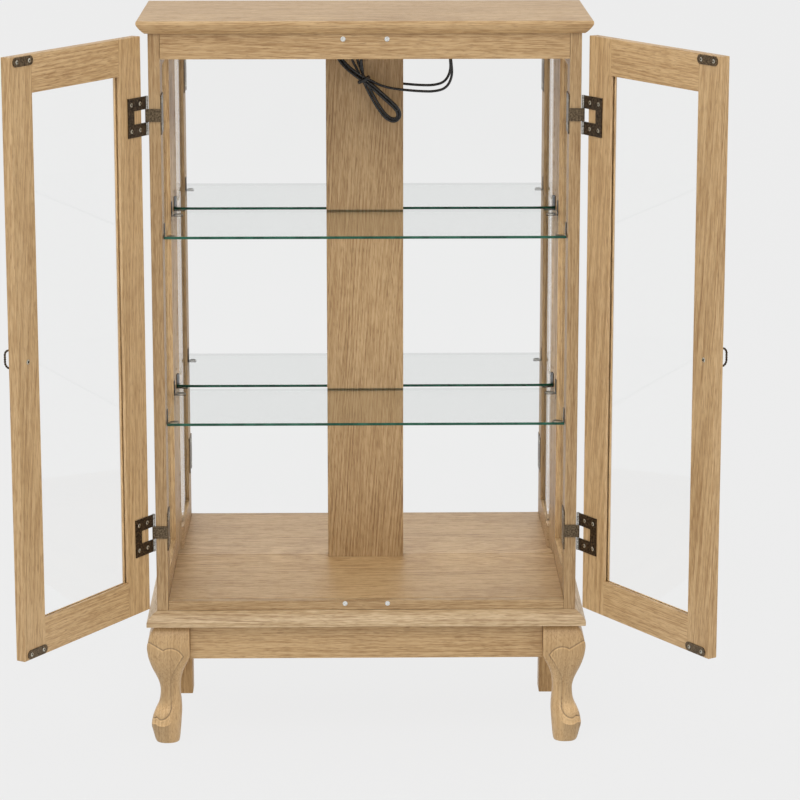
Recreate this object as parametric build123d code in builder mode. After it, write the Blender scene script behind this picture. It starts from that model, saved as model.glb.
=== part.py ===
from build123d import *
from math import cos, sin, radians, tan, pi
import os

# Free-standing display cabinet, doors stored wide open.
# Frame: millimetres, +Z up, +Y to the back, origin on the floor under the middle of the
# whole object. FRONT is the y of the case's front plane, and every y below is counted from it.

# ---------------------------------------------------------------- driving dimensions
FRONT = -3.2            # case front plane
CASE_HALF = 295.0       # half the width over the sides
SIDE_T = 16.0           # thickness of the side frames
INNER = CASE_HALF - SIDE_T
CASE_DEPTH = 256.0
HEIGHT = 1028.0
Z_BASE_LOW, Z_BASE_TOP = 174.0, 195.0
Z_FLOOR = 209.0
Z_CEIL = 1010.0
TOP_HANG = 15.0
BASE_HANG = 14.5
BACK_EDGE = 258.0
RAIL_FRONT_T = 16.0
Z_RAIL_LOW = 974.5      # underside of the top rail
APRON_LOW = 124.0

STILE_F_D = 50.0        # depth of the side frame's front stile
STILE_R_Y = 206.0       # front of the rear stile
SIDE_RAIL_LOW_TOP = 242.0
SIDE_RAIL_TOP_LOW = 960.0
SIDE_GLASS_X = 287.0    # mid-plane of the side glass
GLASS_T = 3.0

MIRROR_Y = 238.0        # front of the mirrors
BACK_Y = 241.0
BACK_T = 3.0
STRIP_HALF = 55.5
STRIP_Y = 226.0

SHELF_TOPS = (464.5, 729.0)
SHELF_T = 4.0
SHELF_HALF = 277.5
SHELF_Y0, SHELF_Y1 = 8.0, 225.5
SUPPORT_YS = (35.0, 216.0)
HOLE_PITCH = 26.0

OPEN_DEG = 122.0        # stored opening of each door
PIVOT_X = 297.6
PIVOT_Y = -1.0
A_HINGE, A_FREE = 10.8, 296.6        # door edges, from the pivot along the door
F_BACK, F_FRONT = 1.0, 15.0          # door faces, from the pivot towards the door's front
DOOR_Z0, DOOR_Z1 = 200.5, 1007.5
HINGE_STILE_W, LOCK_STILE_W, DOOR_RAIL_W = 50.0, 46.0, 50.0
HINGE_ZS = (309.5, 898.3)
BARREL_R, PIN_R, KNUCKLE_R = 2.2, 1.2, 1.25
STRIKE_A, STRIKE_L, STRIKE_H = 269.0, 42.0, 12.5
PULL_A, PULL_Z = 273.3, 605.5
MAGNET_X, MAGNET_R, MAGNET_ZS = 29.9, 3.5, (204.4, 1002.0)

FOOT = 37.0             # rear leg section

CORD_R = 2.0

os.makedirs("parts", exist_ok=True)


def save(builder, label):
    builder.part.label = label
    export_step(builder.part, "parts/" + label + ".step")


def save_pair(builder, name):
    """Write a left-hand piece and its mirror image."""
    save(builder, "left_" + name)
    with BuildPart() as twin:
        mirror(builder.part, about=Plane.YZ)
    save(twin, "right_" + name)


def block(x0, x1, y0, y1, z0, z1, mode=Mode.ADD):
    """A straight board, in the part being built; y is counted from the case front."""
    with BuildSketch(Plane.XY.offset(z0)) as plan:
        with Locations(((x0 + x1) / 2, FRONT + (y0 + y1) / 2)):
            Rectangle(x1 - x0, y1 - y0)
    extrude(plan.sketch, amount=z1 - z0, mode=mode)


def side_plane(x):
    """Plane facing +X at x: its local x is +Y and its local y is +Z."""
    return Plane(origin=(x, FRONT, 0), x_dir=(0, 1, 0), z_dir=(1, 0, 0))


def front_plane(y):
    """Plane facing -Y at y: its local x is +X and its local y is +Z."""
    return Plane(origin=(0, FRONT + y, 0), x_dir=(1, 0, 0), z_dir=(0, -1, 0))


# ---------------------------------------------------------------- top and base boards
# Each is the overlap of its front profile and its side profile, which mitres the
# moulding at the front corners and leaves the back edge flush.
def moulded_board(half, hang, profile):
    """profile: overhang and height pairs, and the function that draws through them."""
    with BuildPart() as board:
        with BuildSketch(side_plane(-half - hang)):
            with BuildLine():
                pts = [(-h, z) for h, z in profile["outer"]]
                profile["draw"](pts)
                Line(pts[-1], (BACK_EDGE, pts[-1][1]))
                Line((BACK_EDGE, pts[-1][1]), (BACK_EDGE, pts[0][1]))
                Line((BACK_EDGE, pts[0][1]), pts[0])
            make_face()
        extrude(amount=2 * (half + hang))
        with BuildSketch(front_plane(BACK_EDGE + 10)):
            with BuildLine():
                pts = [(half + h, z) for h, z in profile["outer"]]
                profile["draw"](pts)
                mirrored = [(-x, z) for x, z in pts]
                profile["draw"](mirrored)
                Line(pts[-1], mirrored[-1])
                Line(pts[0], mirrored[0])
            make_face()
        extrude(amount=BACK_EDGE + 10 + hang + 20, mode=Mode.INTERSECT)
    return board


def draw_top(p):
    # underside corner, round-over, nose, softened upper edge
    ThreePointArc(p[0], p[1], p[2])
    Line(p[2], p[3])
    ThreePointArc(p[3], p[4], p[5])


top_panel = moulded_board(CASE_HALF, TOP_HANG, {
    "outer": [(4.0, Z_CEIL), (11.2, 1017.2), (15.0, 1023.0), (15.0, 1026.0), (14.4, 1027.4), (13.0, HEIGHT)],
    "draw": draw_top})
save(top_panel, "top_panel")


def draw_base(p):
    # small lower round, nose, then one gentle hump up to the case's front plane
    ThreePointArc(p[0], p[1], p[2])
    Line(p[2], p[3])
    Line(p[3], p[4])
    ThreePointArc(p[4], p[5], p[6])


base_panel = moulded_board(CASE_HALF, BASE_HANG, {
    "outer": [(13.3, Z_BASE_LOW), (14.15, 174.35), (14.5, 175.2), (14.5, 180.6), (14.2, 181.2), (8.3, 189.4), (0.5, Z_BASE_TOP)],
    "draw": draw_base})
save(base_panel, "base_panel")

# ---------------------------------------------------------------- case boards
with BuildPart() as floor_panel:
    # notched for the centre strip, which stands on the base board as the mirrors do
    block(-INNER, INNER, 14, MIRROR_Y, Z_BASE_TOP, Z_FLOOR)
    block(-STRIP_HALF, STRIP_HALF, STRIP_Y, MIRROR_Y + 2, Z_BASE_TOP - 1, Z_FLOOR + 1, mode=Mode.SUBTRACT)
save(floor_panel, "floor_panel")

with BuildPart() as top_rail:
    block(-INNER, INNER, 0, RAIL_FRONT_T, Z_RAIL_LOW, Z_CEIL)
    with BuildSketch(front_plane(0)):
        with Locations((-MAGNET_X, MAGNET_ZS[1]), (MAGNET_X, MAGNET_ZS[1])):
            Circle(MAGNET_R)
    extrude(amount=-6, mode=Mode.SUBTRACT)
save(top_rail, "top_rail")

with BuildPart() as bottom_rail:
    block(-INNER, INNER, 0, 14, Z_BASE_TOP, Z_FLOOR)
    chamfer(bottom_rail.edges().filter_by(Axis.X).group_by(Axis.Z)[-1].sort_by(Axis.Y)[0], 1.0)
    with BuildSketch(front_plane(0)):
        with Locations((-MAGNET_X, MAGNET_ZS[0]), (MAGNET_X, MAGNET_ZS[0])):
            Circle(MAGNET_R)
    extrude(amount=-6, mode=Mode.SUBTRACT)
save(bottom_rail, "bottom_rail")

with BuildPart() as door_magnets:
    with BuildSketch(front_plane(-0.4)):
        with Locations(*[(s * MAGNET_X, z) for s in (-1, 1) for z in MAGNET_ZS]):
            Circle(MAGNET_R)
    extrude(amount=-6.4)
save(door_magnets, "door_magnets")

# ---------------------------------------------------------------- side frames
pin_zs = [zt - SHELF_T - 0.5 + k * HOLE_PITCH for zt in SHELF_TOPS for k in (-1, 0, 1)]


def glass_groove(y0, y1, z0, z1):
    block(-SIDE_GLASS_X - GLASS_T / 2, -SIDE_GLASS_X + GLASS_T / 2, y0, y1, z0, z1, mode=Mode.SUBTRACT)


def side_holes(points, radius, depth):
    with BuildSketch(side_plane(-INNER)) as holes:
        with Locations(*points):
            Circle(radius)
    extrude(holes.sketch, amount=-depth, mode=Mode.SUBTRACT)


hinge_screw_points = [(y, zc + dz) for zc in HINGE_ZS for dz in (-18.0, 18.0) for y in (10.0, 30.0)]

with BuildPart() as front_stile:
    block(-CASE_HALF, -INNER, 0, STILE_F_D, Z_BASE_TOP, Z_CEIL)
    fillet(front_stile.edges().filter_by(Axis.Z).group_by(Axis.Y)[0], 1.0)
    glass_groove(STILE_F_D - 6, STILE_F_D, SIDE_RAIL_LOW_TOP - 6, SIDE_RAIL_TOP_LOW + 6)
    side_holes([(SUPPORT_YS[0], z) for z in pin_zs], 2.5, 8.5)
    side_holes(hinge_screw_points, 1.5, 10.0)
save_pair(front_stile, "front_stile")

with BuildPart() as rear_stile:
    block(-CASE_HALF, -INNER, STILE_R_Y, CASE_DEPTH, Z_BASE_TOP, Z_CEIL)
    glass_groove(STILE_R_Y, STILE_R_Y + 6, SIDE_RAIL_LOW_TOP - 6, SIDE_RAIL_TOP_LOW + 6)
    block(-INNER - 5, -INNER, MIRROR_Y, BACK_Y + BACK_T, Z_BASE_TOP, Z_CEIL, mode=Mode.SUBTRACT)
    side_holes([(SUPPORT_YS[1], z) for z in pin_zs], 2.5, 8.5)
save_pair(rear_stile, "rear_stile")

with BuildPart() as side_low:
    block(-CASE_HALF, -INNER, STILE_F_D, STILE_R_Y, Z_BASE_TOP, SIDE_RAIL_LOW_TOP)
    glass_groove(STILE_F_D, STILE_R_Y, SIDE_RAIL_LOW_TOP - 6, SIDE_RAIL_LOW_TOP)
save_pair(side_low, "side_bottom_rail")

with BuildPart() as side_high:
    block(-CASE_HALF, -INNER, STILE_F_D, STILE_R_Y, SIDE_RAIL_TOP_LOW, Z_CEIL)
    glass_groove(STILE_F_D, STILE_R_Y, SIDE_RAIL_TOP_LOW, SIDE_RAIL_TOP_LOW + 6)
save_pair(side_high, "side_top_rail")

with BuildPart() as side_glass:
    block(-SIDE_GLASS_X - GLASS_T / 2, -SIDE_GLASS_X + GLASS_T / 2,
          STILE_F_D - 5, STILE_R_Y + 5, SIDE_RAIL_LOW_TOP - 6, SIDE_RAIL_TOP_LOW + 5)
save_pair(side_glass, "side_glass")

# ---------------------------------------------------------------- back
with BuildPart() as back_mirror:
    block(-INNER - 5, -30, MIRROR_Y, BACK_Y, Z_BASE_TOP, Z_CEIL)
save_pair(back_mirror, "mirror")

with BuildPart() as centre_back_strip:
    block(-STRIP_HALF, STRIP_HALF, STRIP_Y, MIRROR_Y, Z_BASE_TOP, Z_CEIL)
    fillet(centre_back_strip.edges().filter_by(Axis.Z).group_by(Axis.Y)[0], 1.0)
    block(-30, 30, MIRROR_Y, BACK_Y, Z_BASE_TOP, Z_CEIL)
save(centre_back_strip, "centre_back_strip")

with BuildPart() as back_panel:
    block(-INNER - 5, INNER + 5, BACK_Y, BACK_Y + BACK_T, Z_BASE_TOP, Z_CEIL)
save(back_panel, "back_panel")

# ---------------------------------------------------------------- shelves and supports
for name, zt in zip(("lower_shelf", "upper_shelf"), SHELF_TOPS):
    with BuildPart() as shelf:
        block(-SHELF_HALF, SHELF_HALF, SHELF_Y0, SHELF_Y1, zt - SHELF_T, zt)
    save(shelf, name)

with BuildPart() as shelf_supports:
    for zt in SHELF_TOPS:
        zb = zt - SHELF_T
        for y in SUPPORT_YS:
            # upright beside the glass, arm under it and pin in the stile
            block(-INNER, -INNER + 1.3, y - 5, y + 5, zb - 3.0, zt + 14.0)
            block(-INNER + 1.3, -262, y - 5, y + 5, zb - 3.0, zb - 1.5)
            with BuildSketch(side_plane(-INNER)):
                with Locations((y, zb - 0.5)):
                    Circle(2.5)
            extrude(amount=-8.0)
    mirror(about=Plane.YZ)
save(shelf_supports, "shelf_supports")

with BuildPart() as shelf_support_pads:
    for zt in SHELF_TOPS:
        zb = zt - SHELF_T
        with BuildSketch(Plane.XY.offset(zb - 1.5)):
            with Locations(*[(s * 269.0, FRONT + y) for s in (-1, 1) for y in SUPPORT_YS]):
                Circle(6.5)
        extrude(amount=1.5)
save(shelf_support_pads, "shelf_support_pads")

# ---------------------------------------------------------------- legs and aprons
# Front leg sections: height, outer face and inner face of the left leg. The same
# profile runs to the front, so the knee and the toe point out at the corner.
LEG = [
    (0.0, -296.2, -270.2), (3.0, -298.8, -268.6), (8.0, -301.4, -267.4), (15.0, -304.1, -266.0),
    (24.0, -305.9, -264.4), (34.0, -305.6, -263.3), (45.0, -300.9, -262.7), (56.0, -295.6, -263.2),
    (67.0, -293.2, -264.3), (78.0, -292.8, -264.6), (89.0, -295.0, -263.8), (99.0, -298.8, -261.7),
    (108.0, -302.6, -259.0), (117.0, -305.6, -255.2), (126.0, -307.9, -251.2), (131.0, -308.9, -249.5),
    (142.6, -310.0, -249.5), (152.4, -308.4, -249.5), (163.7, -304.3, -249.5), (Z_BASE_LOW, -297.2, -249.5),
]

with BuildPart() as front_leg:
    for z, outer, inner in LEG:
        w = inner - outer
        mid = (inner + outer) / 2
        with BuildSketch(Plane.XY.offset(z)):
            with Locations((mid, FRONT + CASE_HALF + mid)):
                RectangleRounded(w, w, 4.0)
    loft(ruled=True)
save_pair(front_leg, "front_leg")

with BuildPart() as rear_leg:
    block(-CASE_HALF, -CASE_HALF + FOOT, CASE_DEPTH - FOOT, CASE_DEPTH, 0, Z_BASE_LOW)
    chamfer(rear_leg.edges().filter_by(Axis.Z), 1.0)
save_pair(rear_leg, "rear_leg")

LEG_IN = 249.5
LEG_BACK = CASE_HALF - LEG_IN        # the front leg's depth behind the front plane
with BuildPart() as front_apron:
    block(-LEG_IN, LEG_IN, 0, 16, APRON_LOW, Z_BASE_LOW)
save(front_apron, "front_apron")

with BuildPart() as side_apron:
    block(-CASE_HALF, -INNER, LEG_BACK, CASE_DEPTH - FOOT, APRON_LOW, Z_BASE_LOW)
save_pair(side_apron, "apron")

with BuildPart() as back_apron:
    block(-CASE_HALF + FOOT, CASE_HALF - FOOT, CASE_DEPTH - 16, CASE_DEPTH, APRON_LOW, Z_BASE_LOW)
save(back_apron, "back_apron")

# ---------------------------------------------------------------- hinges, case side
with BuildPart() as hinge_frame_leaves:
    for zc in HINGE_ZS:
        # leaf on the stile's inner face
        block(-INNER, -INNER + 1.6, 0, 40, zc - 27, zc + 27)
        with BuildSketch(side_plane(-INNER)):
            with Locations(*[(y, zc + dz) for dz in (-18.0, 18.0) for y in (10.0, 30.0)]):
                Circle(1.5)
        extrude(amount=0.6, mode=Mode.SUBTRACT)
        with BuildSketch(side_plane(-INNER + 0.6)):
            with Locations(*[(y, zc + dz) for dz in (-18.0, 18.0) for y in (10.0, 30.0)]):
                Circle(3.0)
        extrude(amount=1.0, mode=Mode.SUBTRACT)
        # arm round the front of the stile, and its knuckle
        block(-PIVOT_X, -INNER + 1.6, -1.6, 0, zc - 8.85, zc + 8.85)
        with BuildSketch(Plane.XY.offset(zc - 8.85)):
            with Locations((-PIVOT_X, FRONT + PIVOT_Y)):
                Circle(BARREL_R)
        extrude(amount=17.7)
        with BuildSketch(Plane.XY.offset(zc - 8.85)):
            with Locations((-PIVOT_X, FRONT + PIVOT_Y)):
                Circle(PIN_R)
        extrude(amount=17.7, mode=Mode.SUBTRACT)
    mirror(about=Plane.YZ)
save(hinge_frame_leaves, "hinge_frame_leaves")

with BuildPart() as hinge_pins:
    for zc in HINGE_ZS:
        with BuildSketch(Plane.XY.offset(zc - 27)):
            with Locations(*[(s * PIVOT_X, FRONT + PIVOT_Y) for s in (-1, 1)]):
                Circle(PIN_R)
        extrude(amount=54)
save(hinge_pins, "hinge_pins")

with BuildPart() as hinge_frame_screws:
    with BuildSketch(side_plane(-INNER + 0.6)):
        with Locations(*hinge_screw_points):
            Circle(3.0)
    extrude(amount=1.0)
    with BuildSketch(side_plane(-INNER - 10.0)):
        with Locations(*hinge_screw_points):
            Circle(1.5)
    extrude(amount=10.6)
    mirror(about=Plane.YZ)
save(hinge_frame_screws, "hinge_frame_screws")

# ---------------------------------------------------------------- doors
# Left door, stored OPEN_DEG open about its pivot. a runs from the pivot along the door,
# f from the pivot towards the door's front face.
AX, AY = cos(radians(-OPEN_DEG)), sin(radians(-OPEN_DEG))
FX, FY = AY, -AX                      # direction of f for the left door
pivot = (-PIVOT_X, FRONT + PIVOT_Y)


def face_plane(f):
    """Plane across the door at f, facing its front: local x is a and local y is +Z."""
    return Plane(origin=(pivot[0] + f * FX, pivot[1] + f * FY, 0), x_dir=(AX, AY, 0), z_dir=(FX, FY, 0))


def panel(a0, a1, z0, z1, f0, f1, mode=Mode.ADD):
    with BuildSketch(face_plane(f0)) as outline:
        with Locations(((a0 + a1) / 2, (z0 + z1) / 2)):
            Rectangle(a1 - a0, z1 - z0)
    extrude(outline.sketch, amount=f1 - f0, mode=mode)


def round_holes(points, radius, f0, f1, mode=Mode.SUBTRACT):
    with BuildSketch(face_plane(f0)) as rounds:
        with Locations(*points):
            Circle(radius)
    extrude(rounds.sketch, amount=f1 - f0, mode=mode)


a_open0, a_open1 = A_HINGE + HINGE_STILE_W, A_FREE - LOCK_STILE_W
z_open0, z_open1 = DOOR_Z0 + DOOR_RAIL_W, DOOR_Z1 - DOOR_RAIL_W
strike_zs = (DOOR_Z0 + 1 + STRIKE_H / 2, DOOR_Z1 - 1 - STRIKE_H / 2)
hinge_points = [(a, zc + dz) for zc in HINGE_ZS for dz in (-18.0, 18.0) for a in (15.5, 35.0)]
strike_points = [(STRIKE_A + da, z) for z in strike_zs for da in (-13.0, 13.0)]

with BuildPart() as door_ring:
    panel(A_HINGE, A_FREE, DOOR_Z0, DOOR_Z1, F_BACK, F_FRONT)
    fillet(door_ring.edges(), 1.0)
    panel(a_open0, a_open1, z_open0, z_open1, F_BACK - 1, F_FRONT + 1, mode=Mode.SUBTRACT)
    # groove for the glass, and the bevel on the front edges of the opening
    panel(a_open0 - 6, a_open1 + 6, z_open0 - 6, z_open1 + 6, 5.0, 5.0 + GLASS_T, mode=Mode.SUBTRACT)
    for f, grow in ((10.0, 0.0), (15.0, 5.0)):
        with BuildSketch(face_plane(f)):
            with Locations(((a_open0 + a_open1) / 2, (z_open0 + z_open1) / 2)):
                Rectangle(a_open1 - a_open0 + 2 * grow, z_open1 - z_open0 + 2 * grow)
    loft(mode=Mode.SUBTRACT)
    round_holes(hinge_points + strike_points, 1.5, F_BACK, 9.0)
    round_holes([(PULL_A, PULL_Z)], 2.0, F_BACK, F_FRONT)
    round_holes([(PULL_A, PULL_Z)], 3.4, F_BACK, 2.6)

with BuildPart() as door_hinge_stile:
    add(door_ring.part)
    panel(A_HINGE - 2, a_open0, DOOR_Z0 - 2, DOOR_Z1 + 2, F_BACK - 1, F_FRONT + 1, mode=Mode.INTERSECT)
save_pair(door_hinge_stile, "door_hinge_stile")

with BuildPart() as door_lock_stile:
    add(door_ring.part)
    panel(a_open1, A_FREE + 2, DOOR_Z0 - 2, DOOR_Z1 + 2, F_BACK - 1, F_FRONT + 1, mode=Mode.INTERSECT)
save_pair(door_lock_stile, "door_lock_stile")

with BuildPart() as door_top_rail:
    add(door_ring.part)
    panel(a_open0, a_open1, z_open1 - 10, DOOR_Z1 + 2, F_BACK - 1, F_FRONT + 1, mode=Mode.INTERSECT)
save_pair(door_top_rail, "door_top_rail")

with BuildPart() as door_bottom_rail:
    add(door_ring.part)
    panel(a_open0, a_open1, DOOR_Z0 - 2, z_open0 + 10, F_BACK - 1, F_FRONT + 1, mode=Mode.INTERSECT)
save_pair(door_bottom_rail, "door_bottom_rail")

with BuildPart() as door_glass:
    panel(a_open0 - 5, a_open1 + 5, z_open0 - 6, z_open1 + 5, 5.0, 5.0 + GLASS_T)
save_pair(door_glass, "door_glass")

# door leaf of each hinge: two arms joined by an upright, which nest round the case arm
with BuildPart() as door_hinge_leaves:
    for zc in HINGE_ZS:
        for s in (-1, 1):
            z0, z1 = sorted((zc + s * 9.15, zc + s * 27.0))
            panel(0.0, 42.9, z0, z1, -0.6, F_BACK)
            with BuildSketch(Plane.XY.offset(z0)):
                with Locations(pivot):
                    Circle(BARREL_R)
            extrude(amount=z1 - z0)
            with BuildSketch(Plane.XY.offset(z0)):
                with Locations(pivot):
                    Circle(KNUCKLE_R)
            extrude(amount=z1 - z0, mode=Mode.SUBTRACT)
        panel(29.1, 42.9, zc - 9.15, zc + 9.15, -0.6, F_BACK)
    round_holes(hinge_points, 1.5, 0.4, F_BACK)
    round_holes(hinge_points, 3.0, -0.6, 0.4)
save_pair(door_hinge_leaves, "door_hinge_leaves")

with BuildPart() as strike_plates:
    with BuildSketch(face_plane(-0.2)):
        with Locations(*[(STRIKE_A, z) for z in strike_zs]):
            SlotOverall(STRIKE_L, STRIKE_H)
    extrude(amount=1.2)
    round_holes(strike_points, 1.5, 0.5, F_BACK)
    round_holes(strike_points, 2.8, -0.2, 0.5)
save_pair(strike_plates, "door_strike_plates")

with BuildPart() as door_screws:
    round_holes(hinge_points, 3.0, -0.6, 0.4, mode=Mode.ADD)
    round_holes(hinge_points, 1.5, 0.4, 9.0, mode=Mode.ADD)
    round_holes(strike_points, 2.8, -0.2, 0.5, mode=Mode.ADD)
    round_holes(strike_points, 1.5, 0.5, 9.0, mode=Mode.ADD)
    round_holes([(PULL_A, PULL_Z)], 3.4, 0.8, 2.6, mode=Mode.ADD)
    round_holes([(PULL_A, PULL_Z)], 2.0, 2.6, F_FRONT, mode=Mode.ADD)
save_pair(door_screws, "door_screws")

# pull: oval backplate and an arched bow standing up the door
BOW = 10.6              # half the distance between the bow's two ends
with BuildPart() as door_pull:
    with BuildSketch(face_plane(F_FRONT)):
        with Locations((PULL_A, PULL_Z)):
            Ellipse(7.0, 17.0)
    extrude(amount=1.6)
    bow_plane = Plane(origin=(pivot[0] + PULL_A * AX + F_FRONT * FX, pivot[1] + PULL_A * AY + F_FRONT * FY, PULL_Z),
                      x_dir=(FX, FY, 0), z_dir=(AX, AY, 0))
    with BuildLine(bow_plane):
        Polyline((0.8, -BOW), (12.0, -BOW))
        ThreePointArc((12.0, -BOW), (12.0 + BOW, 0), (12.0, BOW))
        Polyline((12.0, BOW), (0.8, BOW))
    with BuildSketch(face_plane(F_FRONT + 0.8)):
        with Locations((PULL_A, PULL_Z - BOW)):
            Circle(3.3)
    sweep()
save_pair(door_pull, "door_pull")

# ---------------------------------------------------------------- lamp and cord
LAMP_Y = 118.0
CORD_Y = 204.0
with BuildPart() as lamp_housing:
    with BuildSketch(Plane.XY.offset(996.0)):
        with Locations((0, FRONT + LAMP_Y)):
            Circle(34.0)
    extrude(amount=14.0)
    fillet(lamp_housing.edges().group_by(Axis.Z)[0], 2.0)
    # gland where the cord leaves
    with BuildSketch(side_plane(30.0)):
        with Locations((LAMP_Y, 1003.0)):
            Circle(3.6)
    extrude(amount=10.0)
    with BuildSketch(Plane.XY.offset(996.0)):
        with Locations((0, FRONT + LAMP_Y)):
            Circle(28.0)
    extrude(amount=3.0, mode=Mode.SUBTRACT)
save(lamp_housing, "lamp_housing")

with BuildPart() as lamp_lens:
    with BuildSketch(Plane.XY.offset(995.4)):
        with Locations((0, FRONT + LAMP_Y)):
            Circle(28.0)
    extrude(amount=3.6)
save(lamp_lens, "lamp_lens")

# The cord's free run, from the lamp's gland along the ceiling, down behind the top
# rail and across to the waist of the hank.
ROUTE = [
    (40.0, 118.0, 1003.0), (57.0, 118.0, 1003.0), (81.0, 122.0, 1003.6), (105.0, 134.0, 1004.0),
    (120.5, 155.0, 1004.0), (124.5, 180.0, 1003.0), (122.5, 199.0, 998.0), (121.0, 208.0, 983.0),
    (121.0, 207.0, 965.0), (123.8, 204.6, 945.0), (125.2, 204.0, 925.0), (117.0, 204.0, 908.3),
    (100.0, 204.0, 903.4), (80.0, 204.0, 903.8), (58.0, 204.0, 905.6), (36.0, 204.0, 908.4),
    (20.0, 204.0, 913.5), (11.0, 204.0, 918.0),
]
# The short end that comes out of the top of the hank and carries the plug.
TAIL = [(-41.0, 204.0, 993.0), (-49.0, 204.0, 993.0), (-57.0, 204.0, 995.5), (-65.0, 204.0, 995.5)]


def cord_path(route):
    """Corner radii of a route, from its runs and turns."""
    pts = [Vector(x, FRONT + y, z) for x, y, z in route]
    radii = []
    for before, here, after in zip(pts, pts[1:], pts[2:]):
        one, two = here - before, after - here
        turn = radians(one.get_angle(two))
        radii.append(0.45 * min(one.length, two.length) / tan(turn / 2))
    return pts, radii


def cord_tube(route):
    pts, radii = cord_path(route)
    with BuildLine() as line:
        FilletPolyline(*pts, radius=radii)
    wire = line.wires()[0]
    with BuildSketch(Plane(origin=pts[0], z_dir=pts[1] - pts[0])) as section:
        Circle(CORD_R)
    sweep(section.sketch, path=wire)
    return wire.length, radii


with BuildPart() as power_cord:
    run_length, run_radii = cord_tube(ROUTE)
run_volume = power_cord.part.volume
with BuildPart() as power_cord_end:
    tail_length, tail_radii = cord_tube(TAIL)
tail_volume = power_cord_end.part.volume
print("cord run %.1f mm, radii %s" % (run_length, [round(r, 1) for r in run_radii]))
print("  volume %.1f, section x length %.1f" % (run_volume, pi * CORD_R ** 2 * run_length))
print("cord end %.1f mm, radii %s" % (tail_length, [round(r, 1) for r in tail_radii]))
print("  volume %.1f, section x length %.1f" % (tail_volume, pi * CORD_R ** 2 * tail_length))
with BuildPart() as whole_cord:
    add(power_cord.part)
    add(power_cord_end.part)
save(whole_cord, "power_cord")

# The hank: the outer shape of a tied figure of eight, hung from its upper loop.
HANK_OUTLINE = [
    (-44.0, 951.0), (-45.5, 973.0), (-41.0, 989.5), (-41.0, 996.0), (-10.0, 996.0), (1.0, 987.0),
    (5.0, 970.0), (5.5, 950.0), (6.5, 932.0), (12.34, 920.68), (9.66, 915.32), (21.0, 906.6),
    (34.1, 895.0), (44.5, 887.5), (51.0, 879.5), (53.6, 870.5), (51.5, 862.0), (43.5, 857.0),
    (36.0, 858.0), (26.0, 865.6), (15.6, 879.0), (4.0, 894.6), (-8.3, 912.3), (-16.9, 919.0),
    (-28.8, 929.0), (-38.0, 940.5),
]
HANK_HOLES = [
    [(-14.0, 930.0), (-33.0, 955.0), (-35.0, 970.0), (-31.0, 981.0), (-22.0, 984.5), (-12.0, 982.0),
     (-8.0, 970.0), (-17.0, 950.0)],
    [(8.0, 910.6), (17.0, 889.5), (27.5, 872.4), (39.3, 863.0), (45.5, 866.0), (46.2, 873.7),
     (40.6, 881.0), (26.2, 894.0), (13.2, 905.6)],
]
HANK_T = 12.0
with BuildPart() as cord_hank:
    with BuildSketch(front_plane(CORD_Y - HANK_T / 2)):
        with BuildLine():
            Polyline(*HANK_OUTLINE, close=True)
        make_face()
        for hole in HANK_HOLES:
            with BuildLine():
                Polyline(*hole, close=True)
            make_face(mode=Mode.SUBTRACT)
    extrude(amount=-HANK_T)
save(cord_hank, "cord_hank")

# tie: a thin band in two folds round the hank's waist, front and back
with BuildPart() as cord_tie:
    for y0, y1 in ((CORD_Y - HANK_T / 2 - 1.2, CORD_Y - HANK_T / 2), (CORD_Y + HANK_T / 2, CORD_Y + HANK_T / 2 + 1.2)):
        with BuildSketch(front_plane(y0)):
            with Locations(Location((-1.0, 920.5, 0), 28.0)):
                Rectangle(17.0, 4.0)
        extrude(amount=-(y1 - y0))
save(cord_tie, "cord_tie")

with BuildPart() as plug:
    with BuildSketch(side_plane(-95.0)):
        with Locations((CORD_Y, 995.5)):
            Circle(5.0)
    extrude(amount=30.0)
save(plug, "plug")

# clips on the ceiling: one for the run, one for the hank's upper loop, one for the plug
with BuildPart() as cord_clips:
    block(118.0, 127.0, 165.0, 171.0, 999.6, Z_CEIL)
    block(119.4, 125.6, 165.0, 171.0, 1000.9, 1007.6, mode=Mode.SUBTRACT)
    block(-27.0, -17.0, CORD_Y - 7.3, CORD_Y + 7.3, 980.6, Z_CEIL)
    block(-27.0, -17.0, CORD_Y - 6.0, CORD_Y + 6.0, 981.9, Z_CEIL - 1.5, mode=Mode.SUBTRACT)
    block(-85.0, -75.0, CORD_Y - 7.0, CORD_Y + 7.0, 988.9, Z_CEIL)
    with BuildSketch(side_plane(-85.0)):
        with Locations((CORD_Y, 995.5)):
            Circle(5.0)
    extrude(amount=10.0, mode=Mode.SUBTRACT)
save(cord_clips, "cord_clips")
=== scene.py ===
import math
from math import cos, pi, radians, sin

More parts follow.
